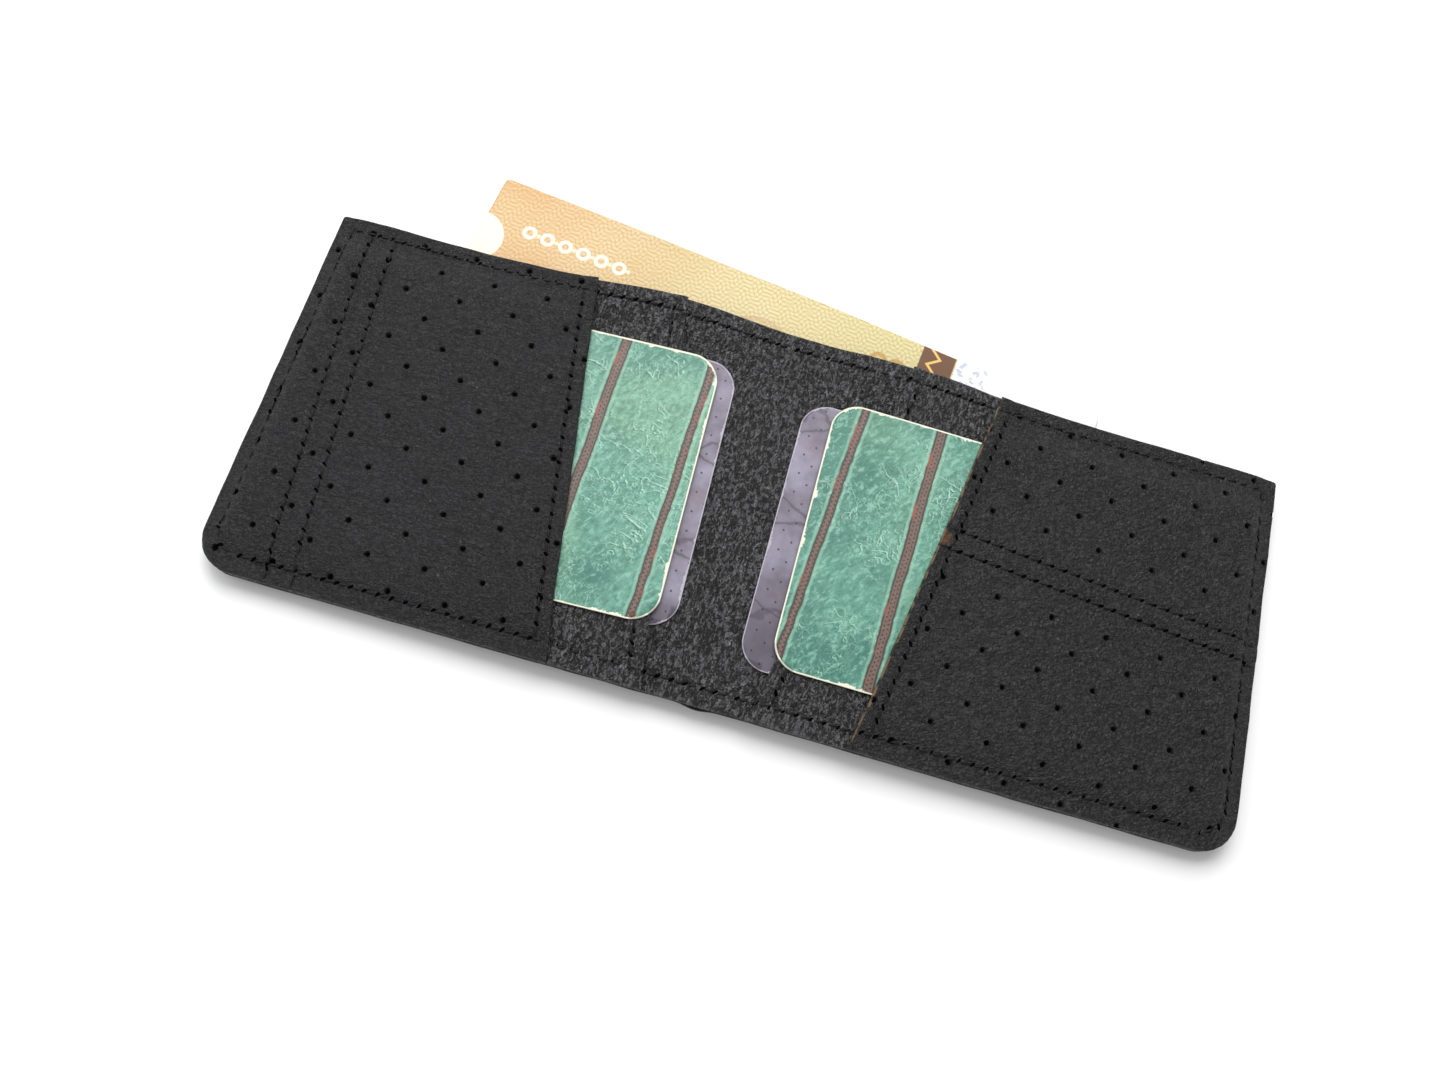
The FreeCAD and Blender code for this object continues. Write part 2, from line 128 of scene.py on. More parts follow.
# ---------------------------------------------------------------------------
# Outer shell: one piece of smooth black leather round the whole wallet, 1.2 mm thick. It
# lies on the table at the ends of both halves and in the slack loop of its spine.
SHELL_THICK = 1.2 * MM
EDGE_ROUND = 0.35 * MM
CORNER = 8.5 * MM
TOP_CORNER = 1.0 * MM
SPINE_SOFT = 6.0 * MM
LOOP_HALF = 4.8 * MM
LOOP_CENTRE = -3.2 * MM
RIPPLE = 0.20 * MM
RIPPLE_SIZE = 34.0 * MM
WANDER = 0.16 * MM
WANDER_SIZE = 7.0 * MM

joints = {joint["name"]: joint for joint in frame["joints"]}
FOLD = Vector(joints["fold"]["pos_m"])
shell_corners = [vertex.co for vertex in frame["nodes"]["outer_shell_right"].data.vertices]
near = min(shell_corners, key=lambda point: (round(point.x, 5), point.z))
far = min(shell_corners, key=lambda point: (-round(point.x, 5), point.z))
TILT = math.atan2(near.z - far.z, far.x - near.x)
SPINE_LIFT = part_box("outer_shell_spine")[1].z - SHELL_THICK
FOLD_HEIGHT = FOLD.z - SPINE_LIFT


def flat_points(node):
    """A CAD node's corners with the slope of its half taken out, heights from the shell's face."""
    low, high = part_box(node)
    side = (low.x > 0) - (high.x < 0)
    level = Matrix.Rotation(-side * TILT, 3, "Y")
    lift = Vector((0, 0, FOLD_HEIGHT))
    return [level @ (vertex.co - FOLD) + lift for vertex in frame["nodes"][node].data.vertices]


shell_points = flat_points("outer_shell_right")
END = max(point.x for point in shell_points)
TOP = max(point.y for point in shell_points)
BOTTOM = min(point.y for point in shell_points)


def smooth_step(value):
    value = min(1.0, max(0.0, value))
    return value * value * (3 - 2 * value)


def ripple(x, y):
    """Slight unevenness that all the layers share, never below the flat."""
    return RIPPLE * (0.5 + 0.5 * noise.noise(Vector((x, y, 0)) / RIPPLE_SIZE))


# The bill compartment gapes: the inner panel and what is sewn to it lift and lean out
# along the top edge. Each entry is a place along the wallet, a lift and a reach.
GAPES = ((-31.0 * MM, 3.7 * MM, 25.0 * MM), (23.0 * MM, 2.5 * MM, 24.0 * MM))
GAPE_START = 28.0 * MM
GAPE_LEAN = 0.4


def gape(x, y):
    lift = sum(most * math.exp(-((x - place) / reach) ** 2) for place, most, reach in GAPES)
    return lift * smooth_step((y - GAPE_START) / (TOP - GAPE_START)) ** 1.5


def lay_down(bm, opening=1.0, wander=0.0, layer=0):
    """Move a flat piece to where it lies: rippled, opened at the top, sloped from the spine."""
    for vertex in bm.verts:
        x, y, height = vertex.co
        height += ripple(x, y)
        opened = gape(x, y) * opening
        height += opened
        drift = noise.noise_vector(Vector((x / WANDER_SIZE, y / WANDER_SIZE, 7.3 * layer)))
        x += wander * drift.x
        y += wander * drift.y + opened * GAPE_LEAN
        turn = TILT * math.sin(math.pi / 2 * max(-1.0, min(1.0, x / SPINE_SOFT)))
        below = height - FOLD_HEIGHT
        vertex.co = (x * math.cos(turn) + below * math.sin(turn), y,
                     FOLD.z + below * math.cos(turn) - x * math.sin(turn))


def trim(bm, place, outward):
    """Cut away what lies outside a line."""
    bmesh.ops.bisect_plane(bm, geom=bm.verts[:] + bm.edges[:] + bm.faces[:], dist=1e-7,
                           plane_co=place, plane_no=outward, clear_outer=True)


def score(bm, place, across):
    """Put a line of edges across the piece without cutting anything away."""
    bmesh.ops.bisect_plane(bm, geom=bm.verts[:] + bm.edges[:] + bm.faces[:], dist=1e-7,
                           plane_co=place, plane_no=across)


def round_corner(bm, centre, radius, ways, facets):
    """Cut one corner round, towards the side and the edge that the ways point to."""
    for facet in range(facets):
        angle = math.radians(90) * (facet + 0.5) / facets
        outward = Vector((ways[0] * math.cos(angle), ways[1] * math.sin(angle), 0))
        trim(bm, centre + outward * radius, outward)


def trim_end(bm, side):
    """Cut one end of the wallet: straight, with a round bottom and a small top corner."""
    trim(bm, (side * END, 0, 0), (side, 0, 0))
    for radius, level, facets in ((CORNER, BOTTOM + CORNER, 8), (TOP_CORNER, TOP - TOP_CORNER, 3)):
        centre = Vector((side * (END - radius), level, 0))
        round_corner(bm, centre, radius, (side, math.copysign(1, level)), facets)


def trim_top_and_bottom(bm):
    trim(bm, (0, TOP, 0), (0, 1, 0))
    trim(bm, (0, BOTTOM, 0), (0, -1, 0))


def score_edges(bm, *lines):
    """Close rows of edges inside each straight edge, so that it can be rounded over."""
    for place, outward in lines:
        for inset in (0.3, 1.0):
            score(bm, Vector(place) - Vector(outward) * EDGE_ROUND * inset, outward)


def give_thickness(bm, thickness):
    """Close the flat sheet into a solid below it, flat underneath."""
    made = bmesh.ops.extrude_face_region(bm, geom=bm.faces[:], use_keep_orig=True)["geom"]
    for item in made:
        if isinstance(item, bmesh.types.BMVert):
            item.co.z = -thickness
    bmesh.ops.recalc_face_normals(bm, faces=bm.faces[:])


def edge_distance(x, y):
    """Distance inside the wallet's outline, along its bottom, ends and round corners."""
    from_end, from_bottom = END - abs(x), y - BOTTOM
    if from_end < CORNER and from_bottom < CORNER:
        return CORNER - math.hypot(CORNER - from_end, CORNER - from_bottom)
    return min(from_end, from_bottom)


def round_over(distance):
    """Drop of the surface at a distance inside a rounded edge."""
    short = max(0.0, EDGE_ROUND - max(0.0, distance))
    return EDGE_ROUND - math.sqrt(max(0.0, EDGE_ROUND ** 2 - short ** 2))


def raise_layer(bm, thickness, height_at, distance_at, dents_under=()):
    """Lift a flat layer to its height over the ones below, and round its edges."""
    for vertex in bm.verts:
        x, y, depth = vertex.co
        rounding = round_over(distance_at(x, y))
        if depth < -0.99 * thickness:
            rounding = -rounding - sum(row_dent(x, y, *row) for row in dents_under)
        vertex.co.z = height_at(x, y) + depth - rounding


def subdivide_once(piece):
    finer = piece.modifiers.new("finer", "SUBSURF")
    finer.levels = 1
    finer.render_levels = 1


def loop_sag(x):
    """Depth of the slack loop in the spine of the shell."""
    across = (x - LOOP_CENTRE) / LOOP_HALF
    return SPINE_LIFT * math.cos(math.pi / 2 * across) ** 2 if abs(across) < 1 else 0.0


def shell_height(x, y):
    return SHELL_THICK - loop_sag(x)


# Sewing rows dent the leather along them, with a pucker at each needle hole. Each row is a
# start, a finish and the layer's height function where its thread lies.
STITCH_PITCH = 3.0 * MM
SIDE_INSET = 3.4 * MM
BOTTOM_INSET = 4.0 * MM
TOP_INSET = 3.2 * MM
DENT_DEPTH = 0.24 * MM
DENT_HALF = 0.75 * MM
BOTTOM_ROW = BOTTOM + BOTTOM_INSET
TOP_ROW = TOP - TOP_INSET
END_ROW = END - SIDE_INSET
ROW_CORNER = CORNER - SIDE_INSET


def row_dent(x, y, start, finish):
    """Depth of the dent that one straight row of stitches makes at a place."""
    run = Vector(finish) - Vector(start)
    offset = Vector((x, y)) - Vector(start)
    along = offset.dot(run) / run.length
    if not -STITCH_PITCH < along < run.length + STITCH_PITCH:
        return 0.0
    across = abs(offset.x * run.y - offset.y * run.x) / run.length
    if across > 3 * DENT_HALF:
        return 0.0
    pucker = 0.7 + 0.3 * math.cos(2 * math.pi * along / STITCH_PITCH)
    return DENT_DEPTH * pucker * math.exp(-(across / DENT_HALF) ** 2)


def score_row(bm, start, finish):
    """Three rows of edges along a row of stitches, fine enough to hold its dent."""
    run = (Vector(finish) - Vector(start)).normalized()
    across = Vector((-run.y, run.x, 0))
    for step in (-1, 0, 1):
        score(bm, Vector((*start, 0)) + across * DENT_HALF * step, across)


BOTTOM_RUN = ((-END_ROW + ROW_CORNER, BOTTOM_ROW), (END_ROW - ROW_CORNER, BOTTOM_ROW))
TOP_RUN = ((-END_ROW, TOP_ROW), (END_ROW, TOP_ROW))


def end_run(side):
    return (side * END_ROW, BOTTOM_ROW + ROW_CORNER), (side * END_ROW, TOP_ROW)


INPUT_NAMES = {"colour": "Base Color", "roughness": "Roughness",
               "shine": "Specular IOR Level"}


def add_node(tree, kind, inputs=None, **settings):
    made = tree.nodes.new(kind)
    for setting, value in settings.items():
        setattr(made, setting, value)
    for socket, value in (inputs or {}).items():
        if isinstance(value, bpy.types.NodeSocket):
            tree.links.new(value, made.inputs[socket])
        else:
            made.inputs[socket].default_value = value
    return made


def calculate(tree, operation, *values, clamp=False):
    inputs = dict(enumerate(values))
    return add_node(tree, "ShaderNodeMath", inputs, operation=operation, use_clamp=clamp).outputs[0]


def ramp(tree, value, low, high):
    """Value that rises from 0 to 1 between two limits."""
    return add_node(tree, "ShaderNodeMapRange", {"Value": value, "From Min": low, "From Max": high},
                    interpolation_type="SMOOTHSTEP").outputs["Result"]


def mix_colours(tree, share, first, second):
    made = add_node(tree, "ShaderNodeMix", {"Factor": share}, data_type="RGBA")
    for socket, value in ((made.inputs[6], first), (made.inputs[7], second)):
        if isinstance(value, bpy.types.NodeSocket):
            tree.links.new(value, socket)
        else:
            socket.default_value = (*value, 1.0)
    return made.outputs[2]


def inverse(tree, value):
    """1 where a value is 0, and 0 where it is 1."""
    return calculate(tree, "SUBTRACT", 1.0, value)


def tint(tree, colour, mask, share, shade):
    """Lay a printed shade over a colour where the mask is, as strongly as the share says."""
    return mix_colours(tree, calculate(tree, "MULTIPLY", mask, share), colour, paint(shade))


def far_from(tree, across, along):
    """Distance of a point from its two offsets."""
    return calculate(tree, "POWER", calculate(
        tree, "ADD", calculate(tree, "POWER", across, 2.0),
        calculate(tree, "POWER", along, 2.0)), 0.5)


def set_inputs(tree, shader, **values):
    """Set or connect a shader's colour, roughness and shine."""
    for name, value in values.items():
        socket = shader.inputs[INPUT_NAMES[name]]
        if isinstance(value, bpy.types.NodeSocket):
            tree.links.new(value, socket)
        else:
            socket.default_value = value


def add_relief(tree, shader, height, strength, distance):
    """Fine relief in the surface, its depth in metres."""
    bump = add_node(tree, "ShaderNodeBump", {"Height": height, "Strength": strength,
                                             "Distance": distance})
    tree.links.new(bump.outputs["Normal"], shader.inputs["Normal"])


def paint(shade):
    """Linear colour of a printed shade written as red, green and blue from 0 to 255."""
    return tuple((part / 255 / 12.92) if part < 10.3 else ((part / 255 + 0.055) / 1.055) ** 2.4
                 for part in shade)


def millimetres(tree, place=(0, 0, 0), turn=0.0, stretch=(1, 1, 1)):
    """Object coordinates in millimetres, centred on a place and turned with a piece."""
    coordinates = add_node(tree, "ShaderNodeTexCoord").outputs["Object"]
    scale = [MM * factor for factor in stretch]
    return add_node(tree, "ShaderNodeMapping",
                    {"Vector": coordinates, "Location": Vector(place) * MM,
                     "Rotation": (0, 0, turn),
                     "Scale": scale}, vector_type="TEXTURE").outputs["Vector"]


def noise_at(tree, vector, scale, detail=3.0, roughness=0.5, distortion=0.0):
    return add_node(tree, "ShaderNodeTexNoise",
                    {"Vector": vector, "Scale": scale, "Detail": detail, "Roughness": roughness,
                     "Distortion": distortion}).outputs["Fac"]


# light grey of the painted highlights on the tops of the leather's ridges
CROWN_HIGHLIGHT_GREY = (0.30, 0.295, 0.315)
SCUFF_TAN = (0.105, 0.046, 0.014)
SCUFF_EDGE = (3.0, 4.0)
SCUFF_FRAY = 3.4
SCUFF_FLAT = (1, 1, 20)


def leather(name, colour, worn_colour, gloss, grain, relief, shine, crease_turn,
            crease_scale=0.7, crease_share=0.35, folds=0.8, glint_share=0.05, scuff=None):
    """Grained leather: pebbles between fine valleys, long faint creases, painted highlights that
    lighten the tops of its ridges to grey and, where a place is given, a scuff that shows the tan
    beneath."""
    material, tree, shader = new_material(name)
    here = millimetres(tree)
    drift = add_node(tree, "ShaderNodeTexNoise", {"Vector": here, "Scale": 0.8 / grain})
    drifted = add_node(tree, "ShaderNodeVectorMath",
                       {0: here, 1: drift.outputs["Color"]}, operation="ADD").outputs[0]
    cells = add_node(tree, "ShaderNodeTexVoronoi", {"Vector": drifted, "Scale": 1.0 / grain},
                     feature="DISTANCE_TO_EDGE").outputs["Distance"]
    pebbles = ramp(tree, cells, 0.0, 0.30)
    long_way = millimetres(tree, turn=crease_turn, stretch=(3.2, 1.0, 1.0))
    waves = noise_at(tree, long_way, crease_scale, detail=4.0, roughness=0.6, distortion=0.5)
    creases = ramp(tree, calculate(tree, "ABSOLUTE", calculate(tree, "SUBTRACT", waves, 0.5)),
                   0.0, 0.08)
    swell = noise_at(tree, here, 0.7 / grain, detail=3.0, roughness=0.6)
    height = calculate(tree, "MULTIPLY_ADD", pebbles, 0.55, calculate(
        tree, "MULTIPLY_ADD", creases, crease_share, calculate(
            tree, "MULTIPLY_ADD", waves, folds, calculate(tree, "MULTIPLY", swell, 1.5))))
    add_relief(tree, shader, height, 1.0, relief * MM)
    patches = noise_at(tree, here, 0.055, detail=4.0, roughness=0.6)
    worn = calculate(tree, "MULTIPLY", ramp(tree, patches, 0.35, 0.75),
                     calculate(tree, "MULTIPLY_ADD", pebbles, 0.7, 0.3))
    finish = mix_colours(tree, worn, colour, worn_colour)
    ridges = noise_at(tree, millimetres(tree, turn=crease_turn, stretch=(1.7, 1.0, 1.0)),
                      1.45 / grain, detail=2.0, roughness=0.55, distortion=0.7)
    # painted highlight: the tops of the ridges are mixed towards grey in the colour, standing in
    # for glints of light
    glint_crowns = calculate(tree, "MULTIPLY", ramp(tree, ridges, 0.49, 0.57), glint_share)
    finish = mix_colours(tree, glint_crowns, finish, CROWN_HIGHLIGHT_GREY)
    if scuff:
        spot = millimetres(tree, place=scuff, stretch=SCUFF_FLAT)
        away = add_node(tree, "ShaderNodeVectorMath", {0: spot}, operation="LENGTH")
        frayed = calculate(tree, "ADD", away.outputs["Value"], calculate(
            tree, "MULTIPLY", noise_at(tree, here, 1.4, detail=4.0), SCUFF_FRAY))
        bare = calculate(tree, "SUBTRACT", 0.85, ramp(tree, frayed, *SCUFF_EDGE), clamp=True)
        finish = mix_colours(tree, bare, finish, SCUFF_TAN)
    valleys = calculate(tree, "MULTIPLY_ADD", calculate(tree, "MULTIPLY", pebbles, creases),
                        -0.16, gloss + 0.16)
    roughness = calculate(tree, "MULTIPLY_ADD", patches, 0.20, calculate(
        tree, "SUBTRACT", valleys, 0.10))
    set_inputs(tree, shader, colour=finish, roughness=roughness, shine=shine)
    return material


shell_leather = leather("shell_leather", (0.0046, 0.0048, 0.0053), (0.0100, 0.0105, 0.0115),
                        gloss=0.50, grain=0.75, relief=0.14, shine=0.30, crease_turn=0.3)

shell_bm = bmesh.new()
bmesh.ops.create_grid(shell_bm, x_segments=96, y_segments=36, size=0.5,
                      matrix=Matrix.Diagonal((2.02 * END, 1.02 * (TOP - BOTTOM), 1, 1)))
for side in (-1, 1):
    trim_end(shell_bm, side)
trim_top_and_bottom(shell_bm)
score_edges(shell_bm, ((0, TOP, 0), (0, 1, 0)), ((0, BOTTOM, 0), (0, -1, 0)),
            ((END, 0, 0), (1, 0, 0)), ((-END, 0, 0), (-1, 0, 0)))
for line in range(-6, 7):
    score(shell_bm, (LOOP_CENTRE + LOOP_HALF * line / 6, 0, 0), (1, 0, 0))
shell_rows = (BOTTOM_RUN, end_run(-1), end_run(1))
for row in shell_rows:
    score_row(shell_bm, *row)
give_thickness(shell_bm, SHELL_THICK)
raise_layer(shell_bm, SHELL_THICK, shell_height,
            lambda x, y: min(edge_distance(x, y), TOP - y), dents_under=shell_rows)
lay_down(shell_bm, opening=0.0, wander=WANDER, layer=1)
outer_shell = new_piece("outer_shell", shell_bm, shell_leather)
subdivide_once(outer_shell)
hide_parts("outer_shell_left", "outer_shell_spine", "outer_shell_right")
BEND_HALF = 7.7 * MM
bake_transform(outer_shell)

# ---------------------------------------------------------------------------
# Inner panel: one piece of soft, glossier black leather over the shell, sewn to it at the
# bottom and the ends and open along the top. The fold has creased its middle into fine
# wrinkles that run from top to bottom.
LAYER_THICK = 0.8 * MM
BILL_ROOM = 0.6 * MM
BOTTOM_RISE = (1.2 * MM, 11.0 * MM)
END_RISE = (1.0 * MM, 5.6 * MM)
TOP_RISE = (3.0 * MM, 11.0 * MM)
WRINKLE = 0.13 * MM
WRINKLE_HALF = 24.0 * MM


def rise(distance, limits):
    """From 0 at an edge to 1 where the layers have their full room."""
    return smooth_step((distance - limits[0]) / (limits[1] - limits[0]))


def sewn_rise(x, y):
    return rise(y - BOTTOM, BOTTOM_RISE) * rise(END - abs(x), END_RISE)


def top_rise(y):
    return rise(TOP - y, TOP_RISE)


def wrinkles(x, y):
    """Fine creases beside the fold, long from top to bottom, dying out to both sides."""
    share = math.exp(-(x / WRINKLE_HALF) ** 2) * smooth_step((y - BOTTOM) / (9 * MM))
    place = Vector((x / (1.9 * MM), y / (17.0 * MM), 3.0))
    ridges = 0.5 - abs(noise.noise(place)) + 0.35 * noise.noise(place * 2.3)
    return WRINKLE * share * ridges


def panel_height(x, y):
    return SHELL_THICK + LAYER_THICK + BILL_ROOM * sewn_rise(x, y)


def panel_surface(x, y):
    dents = row_dent(x, y, *BOTTOM_RUN) + row_dent(x, y, *TOP_RUN)
    return panel_height(x, y) + wrinkles(x, y) - dents


panel_leather = leather("panel_leather", (0.0036, 0.0036, 0.0040), (0.0080, 0.0078, 0.0086),
                        gloss=0.30, grain=0.95, relief=0.55, shine=0.75,
                        crease_turn=math.radians(86), crease_scale=0.72, crease_share=0.7,
                        folds=3.2, glint_share=0.31)

panel_bm = bmesh.new()
bmesh.ops.create_grid(panel_bm, x_segments=170, y_segments=50, size=0.5,
                      matrix=Matrix.Diagonal((2.0, 1.02 * (TOP - BOTTOM), 1, 1)))
for vertex in panel_bm.verts:
    # close columns near the fold, where the wrinkles are, and wide ones out to the ends
    vertex.co.x = END * 1.02 * vertex.co.x * (0.30 + 0.70 * vertex.co.x ** 2)
for side in (-1, 1):
    trim_end(panel_bm, side)
trim_top_and_bottom(panel_bm)
score_edges(panel_bm, ((0, TOP, 0), (0, 1, 0)), ((0, BOTTOM, 0), (0, -1, 0)))
score_row(panel_bm, *BOTTOM_RUN)
score_row(panel_bm, *TOP_RUN)
give_thickness(panel_bm, LAYER_THICK)
raise_layer(panel_bm, LAYER_THICK, panel_surface,
            lambda x, y: min(edge_distance(x, y), TOP - y))
lay_down(panel_bm, wander=WANDER, layer=2)
inner_panel = new_piece("inner_panel", panel_bm, panel_leather)
subdivide_once(inner_panel)
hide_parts("inner_panel_left", "inner_panel_spine", "inner_panel_right")
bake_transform(inner_panel)

# ---------------------------------------------------------------------------
# Rear pockets: one on each half, of the same leather as the inner panel. The slanting
# mouth is turned over and sewn, so it is thicker there than the rest.
CARD_ROOM = 0.6 * MM
HEM_INSET = 3.1 * MM
HEM_EXTRA = 0.22 * MM


def mouth_ends(node, side):
    """Ends of a pocket's mouth, at the bottom and the top edge of the wallet."""
    points = flat_points(node)
    ends = []
    for level in (BOTTOM, TOP):
        row = [abs(point.x) for point in points if abs(point.y - level) < 0.01 * MM]
        ends.append(Vector((side * min(row), level)))
    return ends


def mouth_distance(x, y, mouth, side):
    """Distance from a pocket's mouth, positive towards the end of the wallet."""
    bottom, top = mouth
    run = (top - bottom).normalized()
    return side * ((x - bottom.x) * run.y - (y - bottom.y) * run.x)


def hem_line(mouth, side):
    """Line beside a pocket's mouth, on the pocket, from edge to edge."""
    bottom, top = mouth
    run = (top - bottom).normalized()
    shift = Vector((side * run.y, -side * run.x)) * HEM_INSET
    return bottom + shift, top + shift


def hem_fold(distance):
    """Extra height of the turned mouth, ending in a soft step behind its stitches."""
    return HEM_EXTRA * (1 - smooth_step((distance - 0.9 * HEM_INSET) / (0.9 * MM)))


MOUTHS = {name: mouth_ends(f"{name}_pocket", side) for name, side in (
    ("left_rear", -1), ("left_front", -1), ("right_rear", 1), ("right_front", 1))}


def rear_height(x, y):
    return panel_height(x, y) + LAYER_THICK + CARD_ROOM * sewn_rise(x, y) * top_rise(y)


def pocket_blank(name, side, spacing, turn=0.0):
    """Flat grid that covers one pocket, at a spacing and a turn of its own."""
    bottom, top = MOUTHS[name]
    inner = min(abs(bottom.x), abs(top.x))
    wide = (END - inner) * 1.25
    tall = (TOP - BOTTOM) * 1.25
    columns, rows = math.ceil(wide / spacing), math.ceil(tall / spacing)
    bm = bmesh.new()
    centre = Vector((side * (END + inner) / 2, 0, 0))
    bmesh.ops.create_grid(bm, x_segments=columns, y_segments=rows, size=0.5,
                          matrix=Matrix.Translation(centre) @ Matrix.Rotation(turn, 4, "Z")
                          @ Matrix.Diagonal((columns * spacing, rows * spacing, 1, 1)))
    return bm


def cut_pocket(bm, name, side, rows):
    """Cut a pocket to its outline and score the lines that its edges and rows need."""
    bottom, top = MOUTHS[name]
    run = (top - bottom).normalized()
    outward = Vector((-side * run.y, side * run.x, 0))
    place = Vector((bottom.x, bottom.y, 0))
    trim(bm, place, outward)
    trim_end(bm, side)
    trim_top_and_bottom(bm)
    score_edges(bm, (place, outward), ((0, TOP, 0), (0, 1, 0)), ((0, BOTTOM, 0), (0, -1, 0)),
                ((side * END, 0, 0), (side, 0, 0)))
    for row in rows:
        score_row(bm, *row)


def sewn_surface(height, name, side, rows):
    """Surface of a pocket: its height, the turned mouth and the dents of its rows."""
    def surface(x, y):
        hem = hem_fold(mouth_distance(x, y, MOUTHS[name], side))
        return height(x, y) + hem - sum(row_dent(x, y, *row) for row in rows)
    return surface


SURFACES = {}


def finish_pocket(bm, name, side, height, rows, *materials):
    give_thickness(bm, LAYER_THICK)
    if len(materials) > 2:
        for face in bm.faces:
            middle = face.calc_center_median()
            if mouth_distance(middle.x, middle.y, MOUTHS[name], side) < 0.3 * MM:
                face.material_index = 2
    SURFACES[name] = sewn_surface(height, name, side, rows)
    raise_layer(bm, LAYER_THICK, SURFACES[name],
                lambda x, y: min(edge_distance(x, y), TOP - y,
                                 mouth_distance(x, y, MOUTHS[name], side)))
    lay_down(bm, wander=WANDER, layer=len(name) * side)
    piece = new_piece(f"{name}_pocket_leather", bm, *materials)
    subdivide_once(piece)
    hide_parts(f"{name}_pocket")
    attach(piece, "left_half" if side < 0 else "right_half")
    return piece


for side, word in ((-1, "left"), (1, "right")):
    name = f"{word}_rear"
    rear_rows = [BOTTOM_RUN, TOP_RUN, hem_line(MOUTHS[name], side)]
    rear_bm = pocket_blank(name, side, 1.6 * MM)
    cut_pocket(rear_bm, name, side, rear_rows)
    rear_pocket = finish_pocket(rear_bm, name, side, rear_height, rear_rows, panel_leather)

# ---------------------------------------------------------------------------
# Front pockets: black leather with rows of punched perforations set corner to corner. The
# left one has two rows of sewing across it, the right one two along it, with no
# perforations between them. The right one's mouth shows its tan raw edge.
FRONT_ROOM = 0.9 * MM
PIT_RADIUS = 0.88 * MM
PIT_DEPTH = 0.55 * MM
GRID_STEPS = 4
LEFT_PITCH = 6.2 * MM
RIGHT_PITCH = 6.25 * MM
LEFT_TURN = math.radians(1.5)
RIGHT_TURN = math.radians(-4.6)
LEFT_PIT = Vector((-79.2, 16.9)) * MM
RIGHT_PIT = Vector((68.8, 33.0)) * MM
ACROSS_ROWS = (((-97.4, -44.0), (-104.4, 44.0)), ((-91.4, -44.0), (-99.0, 44.0)))
ALONG_ROWS = (((38.0, 9.5), (113.0, 3.3)), ((38.6, 4.9), (113.0, -0.9)))
BAND_MARGIN = 1.2 * MM


def front_height(x, y):
    return rear_height(x, y) + LAYER_THICK + FRONT_ROOM * sewn_rise(x, y) * top_rise(y)


def perforation_places(origin, pitch, turn, side):
    """Staggered lattice of perforations over one half of the wallet."""
    across = Vector((math.cos(turn), math.sin(turn))) * pitch
    upward = Vector((-math.sin(turn), math.cos(turn))) * pitch
    span = range(-20, 21)
    for column in span:
        for row in span:
            if (column + row) % 2 == 0:
                place = origin + across * column + upward * row
                if 0 < side * place.x < END and BOTTOM < place.y < TOP:
                    yield place


def punch(bm, places):
    """Press a round pit into the face nearest to each place."""
    tree = kdtree.KDTree(len(bm.faces))
    for index, face in enumerate(bm.faces):
        tree.insert(face.calc_center_median(), index)
    tree.balance()
    bm.faces.ensure_lookup_table()
    chosen = {tree.find((place.x, place.y, 0))[1] for place in places}
    faces = [bm.faces[index] for index in sorted(chosen)]
    centres = {face: face.calc_center_median() for face in faces}
    bmesh.ops.inset_individual(bm, faces=faces, thickness=0.35 * MM, use_even_offset=True)
    for face in faces:
        bmesh.ops.subdivide_edges(bm, edges=face.edges[:], cuts=1)
    rims = {}
    for centre in centres.values():
        rims[centre.to_tuple(7)] = centre
    finder = kdtree.KDTree(len(rims))
    for index, centre in enumerate(rims.values()):
        finder.insert(centre, index)
    finder.balance()
    pits = []
    for face in bm.faces:
        middle = face.calc_center_median()
        near, index, distance = finder.find(middle)
        if distance < 0.05 * MM and len(face.verts) == 8:
            pits.append(face)
            for vertex in face.verts:
                vertex.co = near + (vertex.co - near).normalized() * PIT_RADIUS
    bmesh.ops.inset_individual(bm, faces=pits, thickness=0.07 * MM, use_even_offset=True)
    bmesh.ops.inset_individual(bm, faces=pits, thickness=0.05 * MM, depth=-PIT_DEPTH,
                               use_even_offset=True)
    # the pit floors take the second slot, a near-black painted shade
    for face in pits:
        face.material_index = 1


def row_in_metres(row):
    return tuple(Vector(point) * MM for point in row)


left_rows = [row_in_metres(row) for row in ACROSS_ROWS]
right_rows = [row_in_metres(row) for row in ALONG_ROWS]
front_leathers = {
    "left_front": leather("left_front_leather", (0.0046, 0.0048, 0.0058),
                          (0.0094, 0.0097, 0.0114), gloss=0.40, grain=0.66, relief=0.30,
                          shine=0.40, crease_turn=0.05, crease_share=0.35, folds=1.2,
                          glint_share=0.055),
    "right_front": leather("right_front_leather", (0.0044, 0.0046, 0.0046),
                           (0.0090, 0.0092, 0.0090), gloss=0.38, grain=0.85, relief=0.38,
                           shine=0.42, crease_turn=0.4, crease_share=0.3, folds=1.2,
                           glint_share=0.06, scuff=(38.7, 6.3, 7.9)),
}


def painted_shade_hollow(name, colour):
    """Painted shade for the bottom of a hole in black leather, where hardly any light reaches:
    near-black and without shine.
    """
    material, tree, shader = new_material(name)
    speck = noise_at(tree, millimetres(tree), 2.5)
    set_inputs(tree, shader, roughness=1.0, shine=0.0,
               colour=mix_colours(tree, speck, colour, [2.5 * part for part in colour]))
    return material


